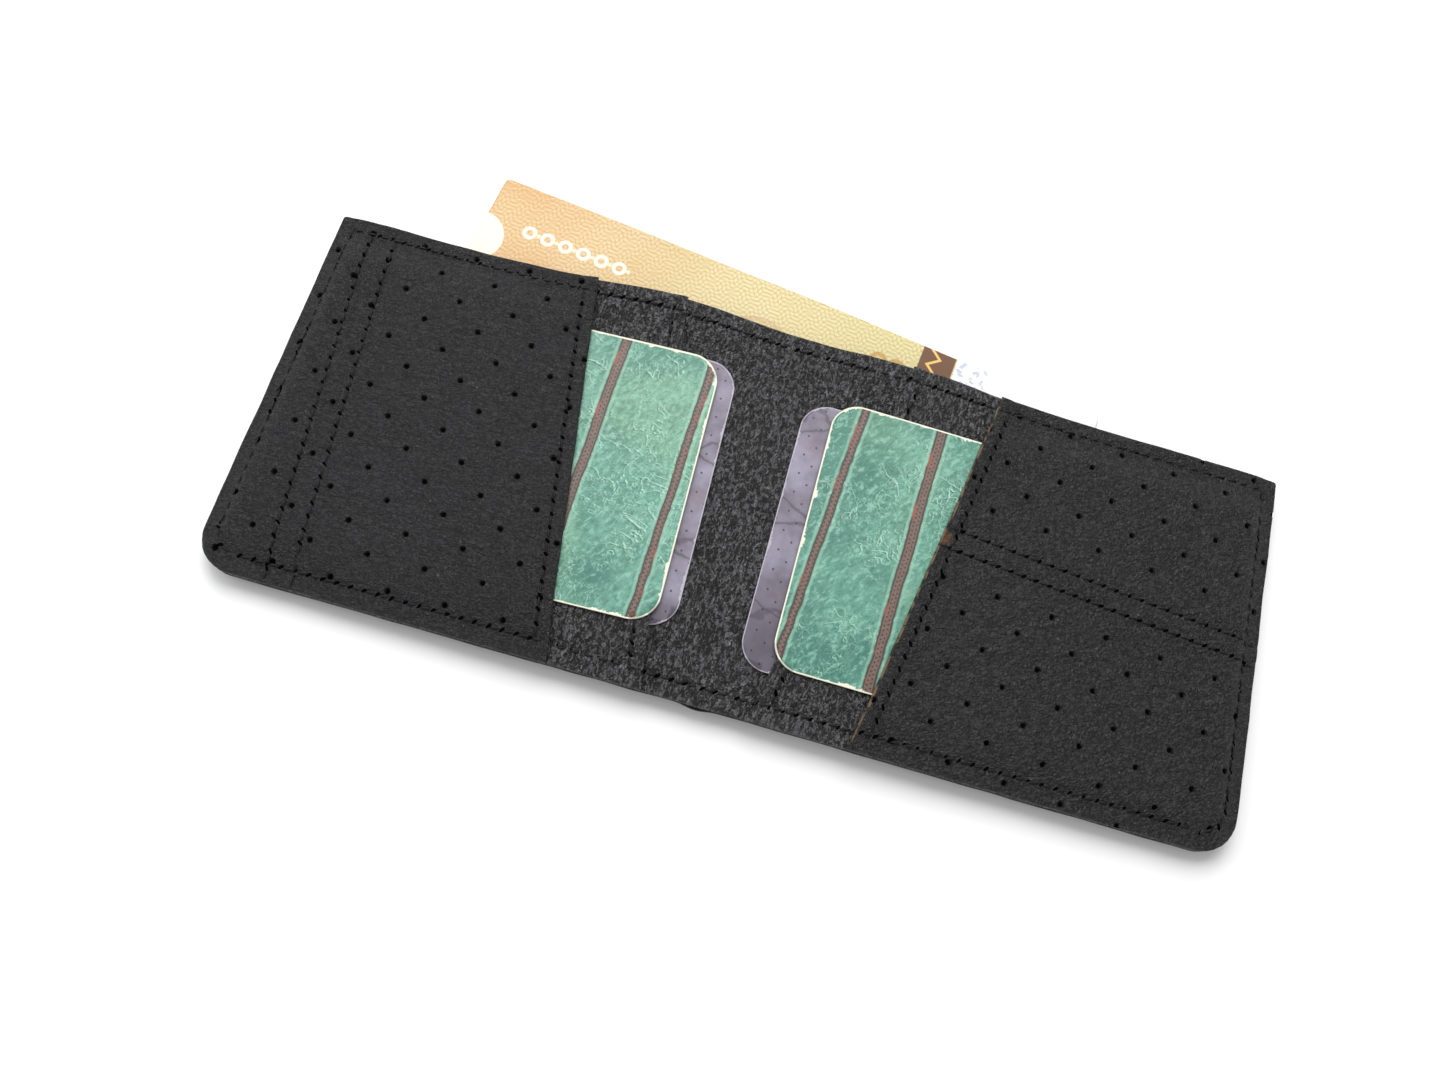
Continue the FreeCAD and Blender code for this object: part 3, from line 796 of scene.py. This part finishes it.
def raw_leather_edge(name):
    """Undyed cut edge: tan fibres, with black finish left on it in places."""
    material, tree, shader = new_material(name)
    here = millimetres(tree)
    left_black = ramp(tree, noise_at(tree, here, 0.5, detail=4.0), 0.42, 0.62)
    fibre = noise_at(tree, millimetres(tree, stretch=(0.3, 3.0, 0.15)), 1.0)
    tan = mix_colours(tree, fibre, (0.085, 0.055, 0.028), (0.19, 0.13, 0.07))
    tree.links.new(mix_colours(tree, left_black, tan, (0.012, 0.011, 0.010)),
                   shader.inputs["Base Color"])
    add_relief(tree, shader, fibre, 0.6, 0.1 * MM)
    shader.inputs["Roughness"].default_value = 0.9
    return material


raw_edge = raw_leather_edge("raw_edge")
# near-black painted shade for the floors of the perforation pits
perforation_shade = painted_shade_hollow("perforation_shade", (0.0012, 0.0012, 0.0013))


front_materials = {
    "left_front": (front_leathers["left_front"], perforation_shade),
    "right_front": (front_leathers["right_front"], perforation_shade, raw_edge),
}


def line_height(row, x):
    (x_start, y_start), (x_finish, y_finish) = row
    return y_start + (y_finish - y_start) * (x - x_start) / (x_finish - x_start)


for side, name, turn, pitch, origin, own_rows in (
        (-1, "left_front", LEFT_TURN, LEFT_PITCH, LEFT_PIT, left_rows),
        (1, "right_front", RIGHT_TURN, RIGHT_PITCH, RIGHT_PIT, right_rows)):
    spacing = pitch / GRID_STEPS
    front_bm = pocket_blank(name, side, spacing, turn)
    places = list(perforation_places(origin, pitch, turn, side))
    if side > 0:
        upper, lower = right_rows
        places = [place for place in places
                  if not line_height(lower, place.x) - BAND_MARGIN < place.y
                  < line_height(upper, place.x) + BAND_MARGIN]
    # slide the grid so that the lattice falls on the middles of its faces
    corner = min(front_bm.verts, key=lambda vertex: vertex.co.length).co
    spin = Matrix.Rotation(-turn, 2)
    offset = spin @ (origin - corner.to_2d())
    remainder = Vector((offset.x % spacing, offset.y % spacing)) - Vector((spacing, spacing)) / 2
    shift = Matrix.Rotation(turn, 2) @ remainder
    bmesh.ops.translate(front_bm, verts=front_bm.verts[:], vec=(shift.x, shift.y, 0))
    punch(front_bm, places)
    front_rows = [BOTTOM_RUN, TOP_RUN, end_run(side), hem_line(MOUTHS[name], side)] + own_rows
    cut_pocket(front_bm, name, side, front_rows)
    front_pocket = finish_pocket(front_bm, name, side, front_height, front_rows,
                                 *front_materials[name])

# ---------------------------------------------------------------------------
# Cards: four plastic cards of the usual size, 0.35 mm thick with round corners, pushed
# into the pockets on their short sides. The two in front carry a print of crinkled green
# leather with two brown straps; the two behind are grey lilac with fine dots and creases.
CARD_LONG = 88.9 * MM
CARD_SHORT = 63.5 * MM
CARD_THICK = 0.35 * MM
CARD_CORNER = 6.4 * MM
CARD_TURNS = {"left_front": 2.0, "left_rear": 2.0, "right_front": 0.0, "right_rear": 0.0}
CARD_EDGE = 0.08 * MM


def card_place(name):
    """Centre of a card in its flat pocket, its turn, and its level over the shell's face."""
    turn = math.radians(CARD_TURNS[name])
    points = flat_points(f"{name}_card")
    level = Matrix.Rotation(-turn, 3, "Z")
    turned = [level @ point for point in points]
    middle = Vector((max(p.x for p in turned) + min(p.x for p in turned),
                     max(p.y for p in turned) + min(p.y for p in turned), 0)) / 2
    centre = Matrix.Rotation(turn, 3, "Z") @ middle
    return centre, turn, max(point.z for point in points)


def card_rim(tree, here):
    """Distance inside the card's rounded outline, in millimetres."""
    split = add_node(tree, "ShaderNodeSeparateXYZ", {0: here})
    radius = CARD_CORNER / MM
    along = calculate(tree, "SUBTRACT", calculate(tree, "ABSOLUTE", split.outputs["X"]),
                      CARD_LONG / MM / 2 - radius)
    across = calculate(tree, "SUBTRACT", calculate(tree, "ABSOLUTE", split.outputs["Y"]),
                       CARD_SHORT / MM / 2 - radius)
    corner = far_from(tree, calculate(tree, "MAXIMUM", along, 0.0),
                      calculate(tree, "MAXIMUM", across, 0.0))
    straight = calculate(tree, "MINIMUM", calculate(tree, "MAXIMUM", along, across), 0.0)
    return calculate(tree, "SUBTRACT", radius, calculate(tree, "ADD", corner, straight))


def creases_at(tree, here, scale, width, distortion=1.2):
    """Thin crooked lines, 1 on a line and 0 beside it."""
    waves = noise_at(tree, here, scale, detail=3.0, roughness=0.6, distortion=distortion)
    return inverse(tree, ramp(tree, calculate(
        tree, "ABSOLUTE", calculate(tree, "SUBTRACT", waves, 0.5)), 0.0, width))


def strap(tree, colour_in, place, turn, width, red_side):
    """One printed strap over the green: brown with two rows of dots between dark seams."""
    here = millimetres(tree, place=place, turn=turn)
    split = add_node(tree, "ShaderNodeSeparateXYZ", {0: here})
    wobble = calculate(tree, "MULTIPLY_ADD", noise_at(tree, here, 0.22), 0.9, -0.45)
    aside = calculate(tree, "ADD", split.outputs["X"], wobble)
    distance = calculate(tree, "ABSOLUTE", aside)
    half = width / 2
    inside = inverse(tree, ramp(tree, distance, half - 0.08, half + 0.10))
    seam = ramp(tree, distance, half - 0.55, half - 0.25)
    fleck = noise_at(tree, here, 1.7, detail=3.0)
    brown = mix_colours(tree, fleck, paint((70, 54, 50)), paint((134, 112, 100)))
    brown = tint(tree, brown, seam, 0.85, (58, 40, 38))
    rusty = calculate(tree, "MULTIPLY", ramp(tree, calculate(tree, "MULTIPLY", aside, red_side),
                                             0.1, half),
                      ramp(tree, noise_at(tree, here, 0.16), 0.5, 0.62))
    brown = tint(tree, brown, rusty, 0.6, (176, 84, 62))
    beside = calculate(tree, "SUBTRACT", distance, 0.38)
    rows = calculate(tree, "PINGPONG", calculate(tree, "ADD", split.outputs["Y"], calculate(
        tree, "MULTIPLY", calculate(tree, "SIGN", aside), 0.26)), 0.52)
    dot = far_from(tree, beside, rows)
    dots = inverse(tree, ramp(tree, dot, 0.12, 0.24))
    brown = mix_colours(tree, dots, brown, paint((42, 26, 26)))
    pale = inverse(tree, ramp(tree, calculate(
        tree, "ABSOLUTE", calculate(tree, "SUBTRACT", distance, half + 0.45)), 0.05, 0.5))
    edged = mix_colours(tree, calculate(tree, "MULTIPLY", pale, 0.45), colour_in,
                        paint((150, 196, 172)))
    return mix_colours(tree, inside, edged, brown)


def card_finish(tree, shader, colour, here, border, border_width, gloss, relief):
    """Pale worn edge round the print, a smooth skin and a slight relief."""
    rim = calculate(tree, "SUBTRACT", card_rim(tree, here),
                    calculate(tree, "MULTIPLY", ramp(tree, noise_at(tree, here, 0.13, detail=5.0,
                                                                    roughness=0.75), 0.50, 0.64),
                              border_width * 2.0))
    worn = inverse(tree, ramp(tree, rim, border_width * 0.7, border_width))
    add_relief(tree, shader, relief, 0.35, 0.05 * MM)
    shine = calculate(tree, "MULTIPLY_ADD", noise_at(tree, here, 0.3), 0.12, gloss - 0.06)
    set_inputs(tree, shader, colour=mix_colours(tree, worn, colour, border), roughness=shine,
               shine=0.35)


def green_card(name, centre, turn, seed, straps):
    material, tree, shader = new_material(name)
    here = millimetres(tree, place=centre / MM, turn=turn)
    shifted = millimetres(tree, place=centre / MM + Vector((0, 90.0 * seed, 0)), turn=turn)
    clouds = ramp(tree, noise_at(tree, shifted, 0.055, detail=3.0, roughness=0.6), 0.34, 0.68)
    colour = mix_colours(tree, clouds, paint((62, 118, 103)), paint((100, 154, 136)))
    sunny = ramp(tree, noise_at(tree, shifted, 0.035, detail=1.0), 0.48, 0.70)
    colour = tint(tree, colour, sunny, 0.40, (134, 178, 138))
    crumple = noise_at(tree, millimetres(tree, place=centre / MM + Vector((0, 90.0 * seed, 0)),
                                         turn=turn + 0.9, stretch=(1.8, 1.0, 1.0)),
                       1.0, detail=6.0, roughness=0.7, distortion=0.5)
    ridges = ramp(tree, crumple, 0.50, 0.64)
    grooves = ramp(tree, inverse(tree, crumple), 0.50, 0.66)
    colour = tint(tree, colour, ridges, 0.60, (140, 190, 170))
    colour = tint(tree, colour, grooves, 0.60, (42, 96, 82))
    for scale, width, share in ((0.13, 0.009, 0.8), (0.34, 0.018, 0.40)):
        patchy = ramp(tree, noise_at(tree, shifted, 0.06), 0.42, 0.56)
        lit = creases_at(tree, millimetres(tree, place=centre / MM + Vector(
            (0.3, 90.0 * seed + 0.25, 0)), turn=turn), scale, width * 1.3, distortion=0.5)
        dark = creases_at(tree, shifted, scale, width, distortion=0.5)
        colour = mix_colours(tree, calculate(tree, "MULTIPLY", lit, calculate(
            tree, "MULTIPLY", patchy, share)), colour, paint((176, 218, 200)))
        colour = mix_colours(tree, calculate(tree, "MULTIPLY", dark, calculate(
            tree, "MULTIPLY", patchy, share)), colour, paint((36, 84, 70)))
    for place, lean, width, red_side in straps:
        colour = strap(tree, colour, place, lean, width, red_side)
    card_finish(tree, shader, colour, here, paint((226, 224, 204)), 0.34, 0.42, crumple)
    return material


def lilac_card(name, centre, turn, seed, dark_end):
    material, tree, shader = new_material(name)
    here = millimetres(tree, place=centre / MM, turn=turn)
    shifted = millimetres(tree, place=centre / MM + Vector((0, 70.0 * seed, 0)), turn=turn)
    split = add_node(tree, "ShaderNodeSeparateXYZ", {0: here})
    clouds = noise_at(tree, shifted, 0.09, detail=4.0, roughness=0.6)
    colour = mix_colours(tree, ramp(tree, clouds, 0.3, 0.7), paint((98, 90, 106)),
                         paint((142, 138, 156)))
    rosy = ramp(tree, noise_at(tree, shifted, 0.16, detail=4.0), 0.5, 0.7)
    colour = tint(tree, colour, rosy, 0.35, (132, 104, 116))
    # darker towards the bottom of the card, from dark_end millimetres below its middle to 30 mm
    # below it
    lower_darkening = ramp(tree, calculate(tree, "MULTIPLY", split.outputs["Y"], -1.0), dark_end, 30.0)
    colour = tint(tree, colour, lower_darkening, 0.75, (62, 55, 66))
    for slant, lift in ((0.35, 0.0), (-0.5, 12.0)):
        lines = millimetres(tree, place=centre / MM + Vector((0, lift, 0)), turn=turn + slant)
        level = add_node(tree, "ShaderNodeSeparateXYZ", {0: lines}).outputs["Y"]
        bent = calculate(tree, "MULTIPLY_ADD", noise_at(tree, lines, 0.10, detail=4.0), 9.0, level)
        line = calculate(tree, "PINGPONG", bent, 10.5)
        crease = inverse(tree, ramp(tree, line, 0.1, 0.55))
        hem = inverse(tree, ramp(tree, line, 0.4, 2.2))
        colour = tint(tree, colour, hem, 0.25, (92, 82, 98))
        colour = tint(tree, colour, crease, 0.7, (66, 54, 66))
    lattice = millimetres(tree, place=centre / MM, turn=turn + math.radians(45))
    grid = add_node(tree, "ShaderNodeSeparateXYZ", {0: lattice})
    dot = far_from(tree, *(calculate(tree, "PINGPONG", grid.outputs[axis], 1.65)
                           for axis in ("X", "Y")))
    dots = inverse(tree, ramp(tree, dot, 0.16, 0.32))
    colour = mix_colours(tree, dots, colour, paint((44, 36, 44)))
    card_finish(tree, shader, colour, here, paint((168, 164, 174)), 0.22, 0.38, clouds)
    return material


def make_card(name, material):
    centre, turn, level = card_place(name)
    bm = bmesh.new()
    bmesh.ops.create_grid(bm, x_segments=48, y_segments=34, size=0.5,
                          matrix=Matrix.Diagonal((CARD_LONG, CARD_SHORT, 1, 1)))
    corner = Vector((CARD_LONG, CARD_SHORT, 0)) / 2
    for side in (-1, 1):
        for edge in (-1, 1):
            centre_of_corner = Vector((side * (corner.x - CARD_CORNER),
                                       edge * (corner.y - CARD_CORNER), 0))
            round_corner(bm, centre_of_corner, CARD_CORNER, (side, edge), 8)
        score(bm, (side * (corner.x - CARD_EDGE), 0, 0), (1, 0, 0))
        score(bm, (0, side * (corner.y - CARD_EDGE), 0), (0, 1, 0))
    give_thickness(bm, CARD_THICK)
    bmesh.ops.transform(bm, verts=bm.verts[:], matrix=Matrix.Translation(
        centre + Vector((0, 0, level))) @ Matrix.Rotation(turn, 4, "Z"))
    lay_down(bm)
    card = new_piece(f"{name}_card_plastic", bm, material)
    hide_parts(f"{name}_card")
    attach(card, f"{name}_card")
    return card


LEFT_STRAPS = (((-41.45, 3.8, 0), math.radians(-1.2), 2.3, -1),
               ((-21.05, -0.5, 0), math.radians(-1.0), 1.9, 1))
RIGHT_STRAPS = (((13.2, 2.0, 0), math.radians(-5.0), 1.9, -1),
                ((32.15, 0.8, 0), math.radians(-3.0), 2.5, -1))
green_prints = {
    "left_front": green_card("left_green_card", *card_place("left_front")[:2], 1, LEFT_STRAPS),
    "right_front": green_card("right_green_card", *card_place("right_front")[:2], 2,
                              RIGHT_STRAPS),
}
lilac_prints = {
    "left_rear": lilac_card("left_lilac_card", *card_place("left_rear")[:2], 3, 22.0),
    "right_rear": lilac_card("right_lilac_card", *card_place("right_rear")[:2], 4, 0.0),
}
for name, material in green_prints.items():
    make_card(name, material)
for name, material in lilac_prints.items():
    make_card(name, material)

# ---------------------------------------------------------------------------
# Banknote: one thin plastic sheet that lies askew in the bill compartment and sticks out
# above the top edge. Its print is an invented one: woven gold lines, rings and a zigzag bar.
NOTE_LONG = 152.4 * MM
NOTE_SHORT = 69.85 * MM
NOTE_THICK = 0.2 * MM
NOTE_TURN = math.radians(-7.0)
NOTE_CURL = 3.4 * MM
NOTE_TRAVEL = 15.5 * MM
NOTE_CURL_REACH = 26.0 * MM


def banknote_print(name, corner):
    material, tree, shader = new_material(name)
    here = millimetres(tree, place=corner / MM, turn=NOTE_TURN)
    split = add_node(tree, "ShaderNodeSeparateXYZ", {0: here})
    along, down = split.outputs["X"], split.outputs["Y"]
    colour = mix_colours(tree, ramp(tree, along, 8.0, 70.0), paint((206, 166, 114)),
                         paint((204, 196, 144)))
    colour = mix_colours(tree, ramp(tree, along, 72.0, 110.0), colour, paint((206, 202, 148)))
    clouds = ramp(tree, noise_at(tree, here, 0.05, detail=2.0), 0.35, 0.7)
    colour = tint(tree, colour, clouds, 0.35, (220, 208, 168))

    def wave_lines(slant, pitch, wobble, width):
        turned = millimetres(tree, place=corner / MM, turn=NOTE_TURN + slant)
        parts = add_node(tree, "ShaderNodeSeparateXYZ", {0: turned})
        wave = calculate(tree, "SINE", calculate(tree, "MULTIPLY", parts.outputs["X"], wobble))
        level = calculate(tree, "MULTIPLY_ADD", wave, pitch * 0.45, parts.outputs["Y"])
        return inverse(tree, ramp(tree, calculate(
            tree, "PINGPONG", level, pitch / 2), width, width + 0.16))

    for slant, pitch, wobble in ((0.62, 1.15, 1.5), (-0.55, 1.15, 1.3)):
        lines = wave_lines(slant, pitch, wobble, 0.06)
        colour = tint(tree, colour, lines, 0.50, (186, 136, 78))
    pale_lines = wave_lines(0.05, 1.7, 0.8, 0.10)
    colour = tint(tree, colour, pale_lines, 0.18, (228, 218, 184))

    def ring(place_along, place_down, radius, width, shade, share, filled=False):
        nonlocal colour
        spot = far_from(tree, calculate(tree, "SUBTRACT", along, place_along),
                        calculate(tree, "ADD", down, place_down))
        away = calculate(tree, "SUBTRACT", spot, radius)
        if not filled:
            away = calculate(tree, "ABSOLUTE", away)
        mask = inverse(tree, ramp(tree, away, width / 2, width / 2 + 0.3))
        colour = mix_colours(tree, calculate(tree, "MULTIPLY", mask, share), colour, shade)

    ring(0.0, 17.3, 6.6, 0.0, paint((246, 232, 214)), 0.95, filled=True)
    for start in range(6):
        ring(11.5 + 4.6 * start, 11.6, 1.3, 0.55, paint((255, 242, 224)), 0.9)
        ring(13.8 + 4.6 * start, 11.6, 0.2, 0.30, paint((255, 236, 206)), 0.7, filled=True)
    for radius, share in ((3.4, 0.45), (5.0, 0.55), (6.6, 0.5), (8.2, 0.45), (9.8, 0.3)):
        ring(71.0, 20.0, radius, 0.9, paint((176, 120, 86)), share)
        ring(84.0, 20.5, radius * 0.9, 0.8, paint((184, 130, 90)), share)
    for start in range(2):
        ring(99.0 + 4.4 * start, 8.5, 1.7, 0.7, paint((182, 130, 44)), 0.75)
    block = calculate(tree, "MULTIPLY", ramp(tree, along, 107.8, 108.1),
                      inverse(tree, ramp(tree, along, 116.0, 116.3)))
    colour = mix_colours(tree, block, colour, paint((104, 68, 40)))
    zigzag = calculate(tree, "MULTIPLY_ADD", calculate(tree, "PINGPONG", down, 2.2), 1.2, 109.9)
    bolt = inverse(tree, ramp(tree, calculate(
        tree, "ABSOLUTE", calculate(tree, "SUBTRACT", along, zigzag)), 0.35, 0.6))
    colour = mix_colours(tree, bolt, colour, paint((226, 186, 100)))
    window = ramp(tree, along, 116.3, 116.6)
    sheen = mix_colours(tree, noise_at(tree, here, 0.4), paint((226, 230, 238)),
                        paint((244, 243, 240)))
    shimmer = calculate(tree, "MULTIPLY", ramp(tree, noise_at(tree, here, 0.8, detail=4.0),
                                               0.50, 0.60),
                        inverse(tree, ramp(tree, along, 123.0, 126.0)))
    sheen = tint(tree, sheen, shimmer, 0.55, (132, 142, 178))
    colour = mix_colours(tree, window, colour, sheen)
    relief = noise_at(tree, here, 6.0)
    add_relief(tree, shader, relief, 0.1, 0.03 * MM)
    gloss = calculate(tree, "MULTIPLY_ADD", noise_at(tree, here, 0.2), 0.12, 0.42)
    set_inputs(tree, shader, colour=colour, roughness=gloss, shine=0.35)
    return material


note_points = flat_points("banknote_left") + flat_points("banknote_right")
note_points += [Vector((point.x, point.y, 0)) for point in flat_points("banknote_middle")]
note_level = Matrix.Rotation(-NOTE_TURN, 3, "Z")
note_turned = [note_level @ point for point in note_points]
note_corner = Matrix.Rotation(NOTE_TURN, 3, "Z") @ Vector(
    (min(p.x for p in note_turned), max(p.y for p in note_turned), 0))
note_top = max(point.z for point in flat_points("banknote_left"))

note_bm = bmesh.new()
bmesh.ops.create_grid(note_bm, x_segments=84, y_segments=40, size=0.5, matrix=(
    Matrix.Translation(note_corner) @ Matrix.Rotation(NOTE_TURN, 4, "Z")
    @ Matrix.Translation((NOTE_LONG / 2, -NOTE_SHORT / 2, 0))
    @ Matrix.Diagonal((NOTE_LONG, NOTE_SHORT, 1, 1))))
give_thickness(note_bm, NOTE_THICK)
for vertex in note_bm.verts:
    # what sticks out even when the note is pushed in curls up a little between its ends
    out = max(0.0, vertex.co.y - TOP - NOTE_TRAVEL) / NOTE_CURL_REACH
    middle = math.exp(-((vertex.co.x + 26.0 * MM) / (34.0 * MM)) ** 2)
    vertex.co.z += note_top + NOTE_CURL * middle * out
lay_down(note_bm, opening=0.0)
banknote = new_piece("banknote_sheet", note_bm, banknote_print("banknote_gold", note_corner))
subdivide_once(banknote)
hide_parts("banknote_left", "banknote_middle", "banknote_right")
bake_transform(banknote)

# ---------------------------------------------------------------------------
# Sewing: black waxed thread, one lock stitch every 3 mm, pulled down into slanting needle
# holes. It joins the layers round the wallet and holds the turned mouths of the pockets.
THREAD_HALF = 0.29 * MM
STITCH_HALF = 1.22 * MM
STITCH_ARCH = 0.42 * MM
STITCH_RISE = 0.16 * MM
STITCH_SLANT = math.radians(7)
HOLE_LONG = 0.78 * MM
HOLE_WIDE = 0.37 * MM
HOLE_SLANT = math.radians(38)
HOLE_SHAPE = Matrix.Diagonal((HOLE_LONG, HOLE_WIDE, 0.05 * MM, 1))
LOWER_RISE = 0.02 * MM
THREAD_SHAPE = (Matrix.Diagonal((STITCH_HALF, THREAD_HALF, THREAD_HALF, 1))
                @ Matrix.Rotation(math.radians(90), 4, "Y"))


def sewing_thread(name):
    """Waxed black thread: fine twist, a slight shine on top."""
    material, tree, shader = new_material(name)
    here = millimetres(tree)
    lint = noise_at(tree, here, 3.5, detail=3.0)
    tree.links.new(mix_colours(tree, lint, (0.0045, 0.0045, 0.0052), (0.012, 0.012, 0.014)),
                   shader.inputs["Base Color"])
    twist = add_node(tree, "ShaderNodeTexWave", {"Vector": millimetres(tree, turn=0.8),
                                                 "Scale": 1.1, "Distortion": 1.0})
    add_relief(tree, shader, twist.outputs["Fac"], 0.5, 0.05 * MM)
    set_inputs(tree, shader, roughness=0.62, shine=0.3)
    return material


def top_surface(x, y):
    """Height of the uppermost leather at a place, over the shell's outer face."""
    word = "left" if x < 0 else "right"
    side = -1 if x < 0 else 1
    for name in (f"{word}_front", f"{word}_rear"):
        if mouth_distance(x, y, MOUTHS[name], side) > 0:
            return SURFACES[name](x, y)
    return panel_surface(x, y)


def stitches_of(node, side):
    """Middle and direction of each stitch of a row, from the CAD node's separate solids."""
    bm = bmesh.new()
    bm.from_mesh(frame["nodes"][node].data)
    bmesh.ops.remove_doubles(bm, verts=bm.verts[:], dist=1e-6)
    turn = Matrix.Rotation(-side * TILT, 3, "Y")
    waiting = set(bm.verts)
    found = []
    while waiting:
        group, edge = [], [waiting.pop()]
        while edge:
            vertex = edge.pop()
            group.append(turn @ (vertex.co - FOLD))
            for link in vertex.link_edges:
                other = link.other_vert(vertex)
                if other in waiting:
                    waiting.discard(other)
                    edge.append(other)
        centre = sum(group, Vector()) / len(group)
        spread = [(point - centre).to_2d() for point in group]
        slope = math.atan2(2 * sum(part.x * part.y for part in spread),
                           sum(part.x ** 2 - part.y ** 2 for part in spread)) / 2
        run = Vector((math.cos(slope), math.sin(slope)))
        found.append((centre.to_2d(), run))
    bm.free()
    return sorted(found, key=lambda item: (round(item[0].x, 6), item[0].y))


def corner_stitches(side):
    """Stitches that take the row round the rounded corner, between its two straight runs."""
    centre = Vector((side * (END_ROW - ROW_CORNER), BOTTOM_ROW + ROW_CORNER))
    for angle in (22.0, 66.0):
        spoke = Vector((side * math.cos(math.radians(angle)), -math.sin(math.radians(angle))))
        yield centre + spoke * ROW_CORNER, Vector((-spoke.y, spoke.x))


def line_stitches(start, finish):
    """Stitches in a straight run, at the usual pitch or a little closer."""
    run = Vector(finish) - Vector(start)
    count = max(1, round(run.length / STITCH_PITCH))
    for index in range(count):
        yield Vector(start) + run * (index + 0.5) / count, run.normalized()


def rows_end(found, chosen, outward):
    """The last stitch that the CAD has in the chosen part of a row, in one direction."""
    return max((place for place, _ in found if chosen(place)), key=outward.dot)


def sink(verts, place, run, lean, surface, arch, rise):
    """Lay a small form on the leather along a row, its ends pulled down."""
    lean += math.atan2(run.y, run.x)
    for vertex in verts:
        share = vertex.co.x / STITCH_HALF
        flat = Matrix.Rotation(lean, 2) @ vertex.co.to_2d() + place
        vertex.co = (flat.x, flat.y, surface(flat.x, flat.y) + rise + vertex.co.z
                     - arch * share ** 2)


def added_stitches(node, side, found):
    """Stitches where the CAD rows stop short: round the corners, and up to the rows they meet."""
    half_pitch = STITCH_PITCH / 2
    if node.endswith("edge_stitching"):
        yield from corner_stitches(side)
        last = rows_end(found, lambda place: abs(place.x) > END_ROW - half_pitch, Vector((0, 1)))
        yield from line_stitches(last + Vector((0, half_pitch)), (last.x, TOP_ROW))
    elif node.endswith("top_stitching"):
        last = rows_end(found, lambda place: True, Vector((side, 0)))
        yield from line_stitches(last + Vector((side * half_pitch, 0)), (side * END_ROW, last.y))
    elif node.endswith("hem_stitching"):
        for way, limit in ((1, TOP_ROW), (-1, BOTTOM_ROW)):
            last = rows_end(found, lambda place: True, Vector((0, way)))
            run = found[0][1] if found[0][1].y * way > 0 else -found[0][1]
            start = last + run * half_pitch
            yield from line_stitches(start, start + run * abs((limit - start.y) / run.y))
    elif node == "left_panel_stitching":
        for row in left_rows:
            run = (row[1] - row[0]).normalized()
            across = Vector((-run.y, run.x))
            for way, limit in ((1, TOP_ROW), (-1, BOTTOM)):
                last = rows_end(found, lambda place: abs((place - row[0]).dot(across)) < half_pitch,
                                Vector((0, way)))
                start = last + run * way * half_pitch
                yield from line_stitches(start, start + run * way * abs((limit - start.y) / run.y))
    elif node == "right_panel_stitching":
        for row in right_rows:
            run = (row[1] - row[0]).normalized()
            across = Vector((-run.y, run.x))
            near = [place for place, _ in found if abs((place - row[0]).dot(across)) < half_pitch]
            first, last = min(near, key=run.dot), max(near, key=run.dot)
            start = last + run * half_pitch
            yield from line_stitches(start, start + run * (END - start.x) / run.x)
            start = first - run * half_pitch
            reach = mouth_distance(start.x, start.y, MOUTHS["right_front"], side)
            yield from line_stitches(start, start - run * max(reach, STITCH_PITCH))


def shell_underside(x, y):
    """Depth of the shell's outer face, turned over, where the row's lower thread lies."""
    return loop_sag(x) - sum(row_dent(x, y, *row) for row in shell_rows)


def turn_over(verts):
    for vertex in verts:
        vertex.co.z = -vertex.co.z


def bead(bm, segments, rings, shape):
    """A round form of unit size, drawn out to a shape."""
    return bmesh.ops.create_uvsphere(bm, u_segments=segments, v_segments=rings, radius=1.0,
                                     matrix=shape)["verts"]


def sew(node, side, thread, hollow, draw):
    bm = bmesh.new()
    found = stitches_of(node, side)
    places = found + list(added_stitches(node, side, found))
    if node.endswith("edge_stitching"):
        # these rows go through the shell, so their lower thread shows on its outer face
        for place, run in places:
            if abs(place.x) > BEND_HALF:
                lower = bead(bm, 6, 7, THREAD_SHAPE)
                sink(lower, place, run, STITCH_SLANT, shell_underside, STITCH_ARCH, LOWER_RISE)
                turn_over(lower)
    for place, run in places:
        lean = STITCH_SLANT + math.radians(draw.uniform(-3, 3))
        stitch = bead(bm, 6, 7, THREAD_SHAPE)
        sink(stitch, place, run, lean, top_surface, STITCH_ARCH, STITCH_RISE)
        hole_place = place - run * (STITCH_PITCH / 2 + draw.uniform(-0.1, 0.1) * MM)
        # each needle hole is a flat disc laid on the leather in near-black painted shade, not a
        # recess
        hole = bead(bm, 8, 4, HOLE_SHAPE)
        for face in {face for vertex in hole for face in vertex.link_faces}:
            face.material_index = 1
        sink(hole, hole_place, run, HOLE_SLANT + math.radians(draw.uniform(-12, 12)),
             top_surface, 0.0, 0.01 * MM)
    lay_down(bm)
    bmesh.ops.recalc_face_normals(bm, faces=bm.faces[:])
    piece = new_piece(f"{node}_thread", bm, thread, hollow)
    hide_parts(node)
    return piece


black_thread = sewing_thread("black_thread")
# near-black painted shade for the discs that stand for needle holes
needle_hole_shade = painted_shade_hollow("needle_hole_shade", (0.0010, 0.0010, 0.0011))
draw = random.Random(41)
for side, word in ((-1, "left"), (1, "right")):
    for row in ("edge", "top", "rear_hem", "front_hem", "panel"):
        node = f"{word}_{row}_stitching"
        row_piece = sew(node, side, black_thread, needle_hole_shade, draw)
        if row in ("edge", "top"):
            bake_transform(row_piece)
        else:
            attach(row_piece, "left_half" if side < 0 else "right_half")
spine_row = sew("spine_stitching", 0, black_thread, needle_hole_shade, draw)
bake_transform(spine_row)
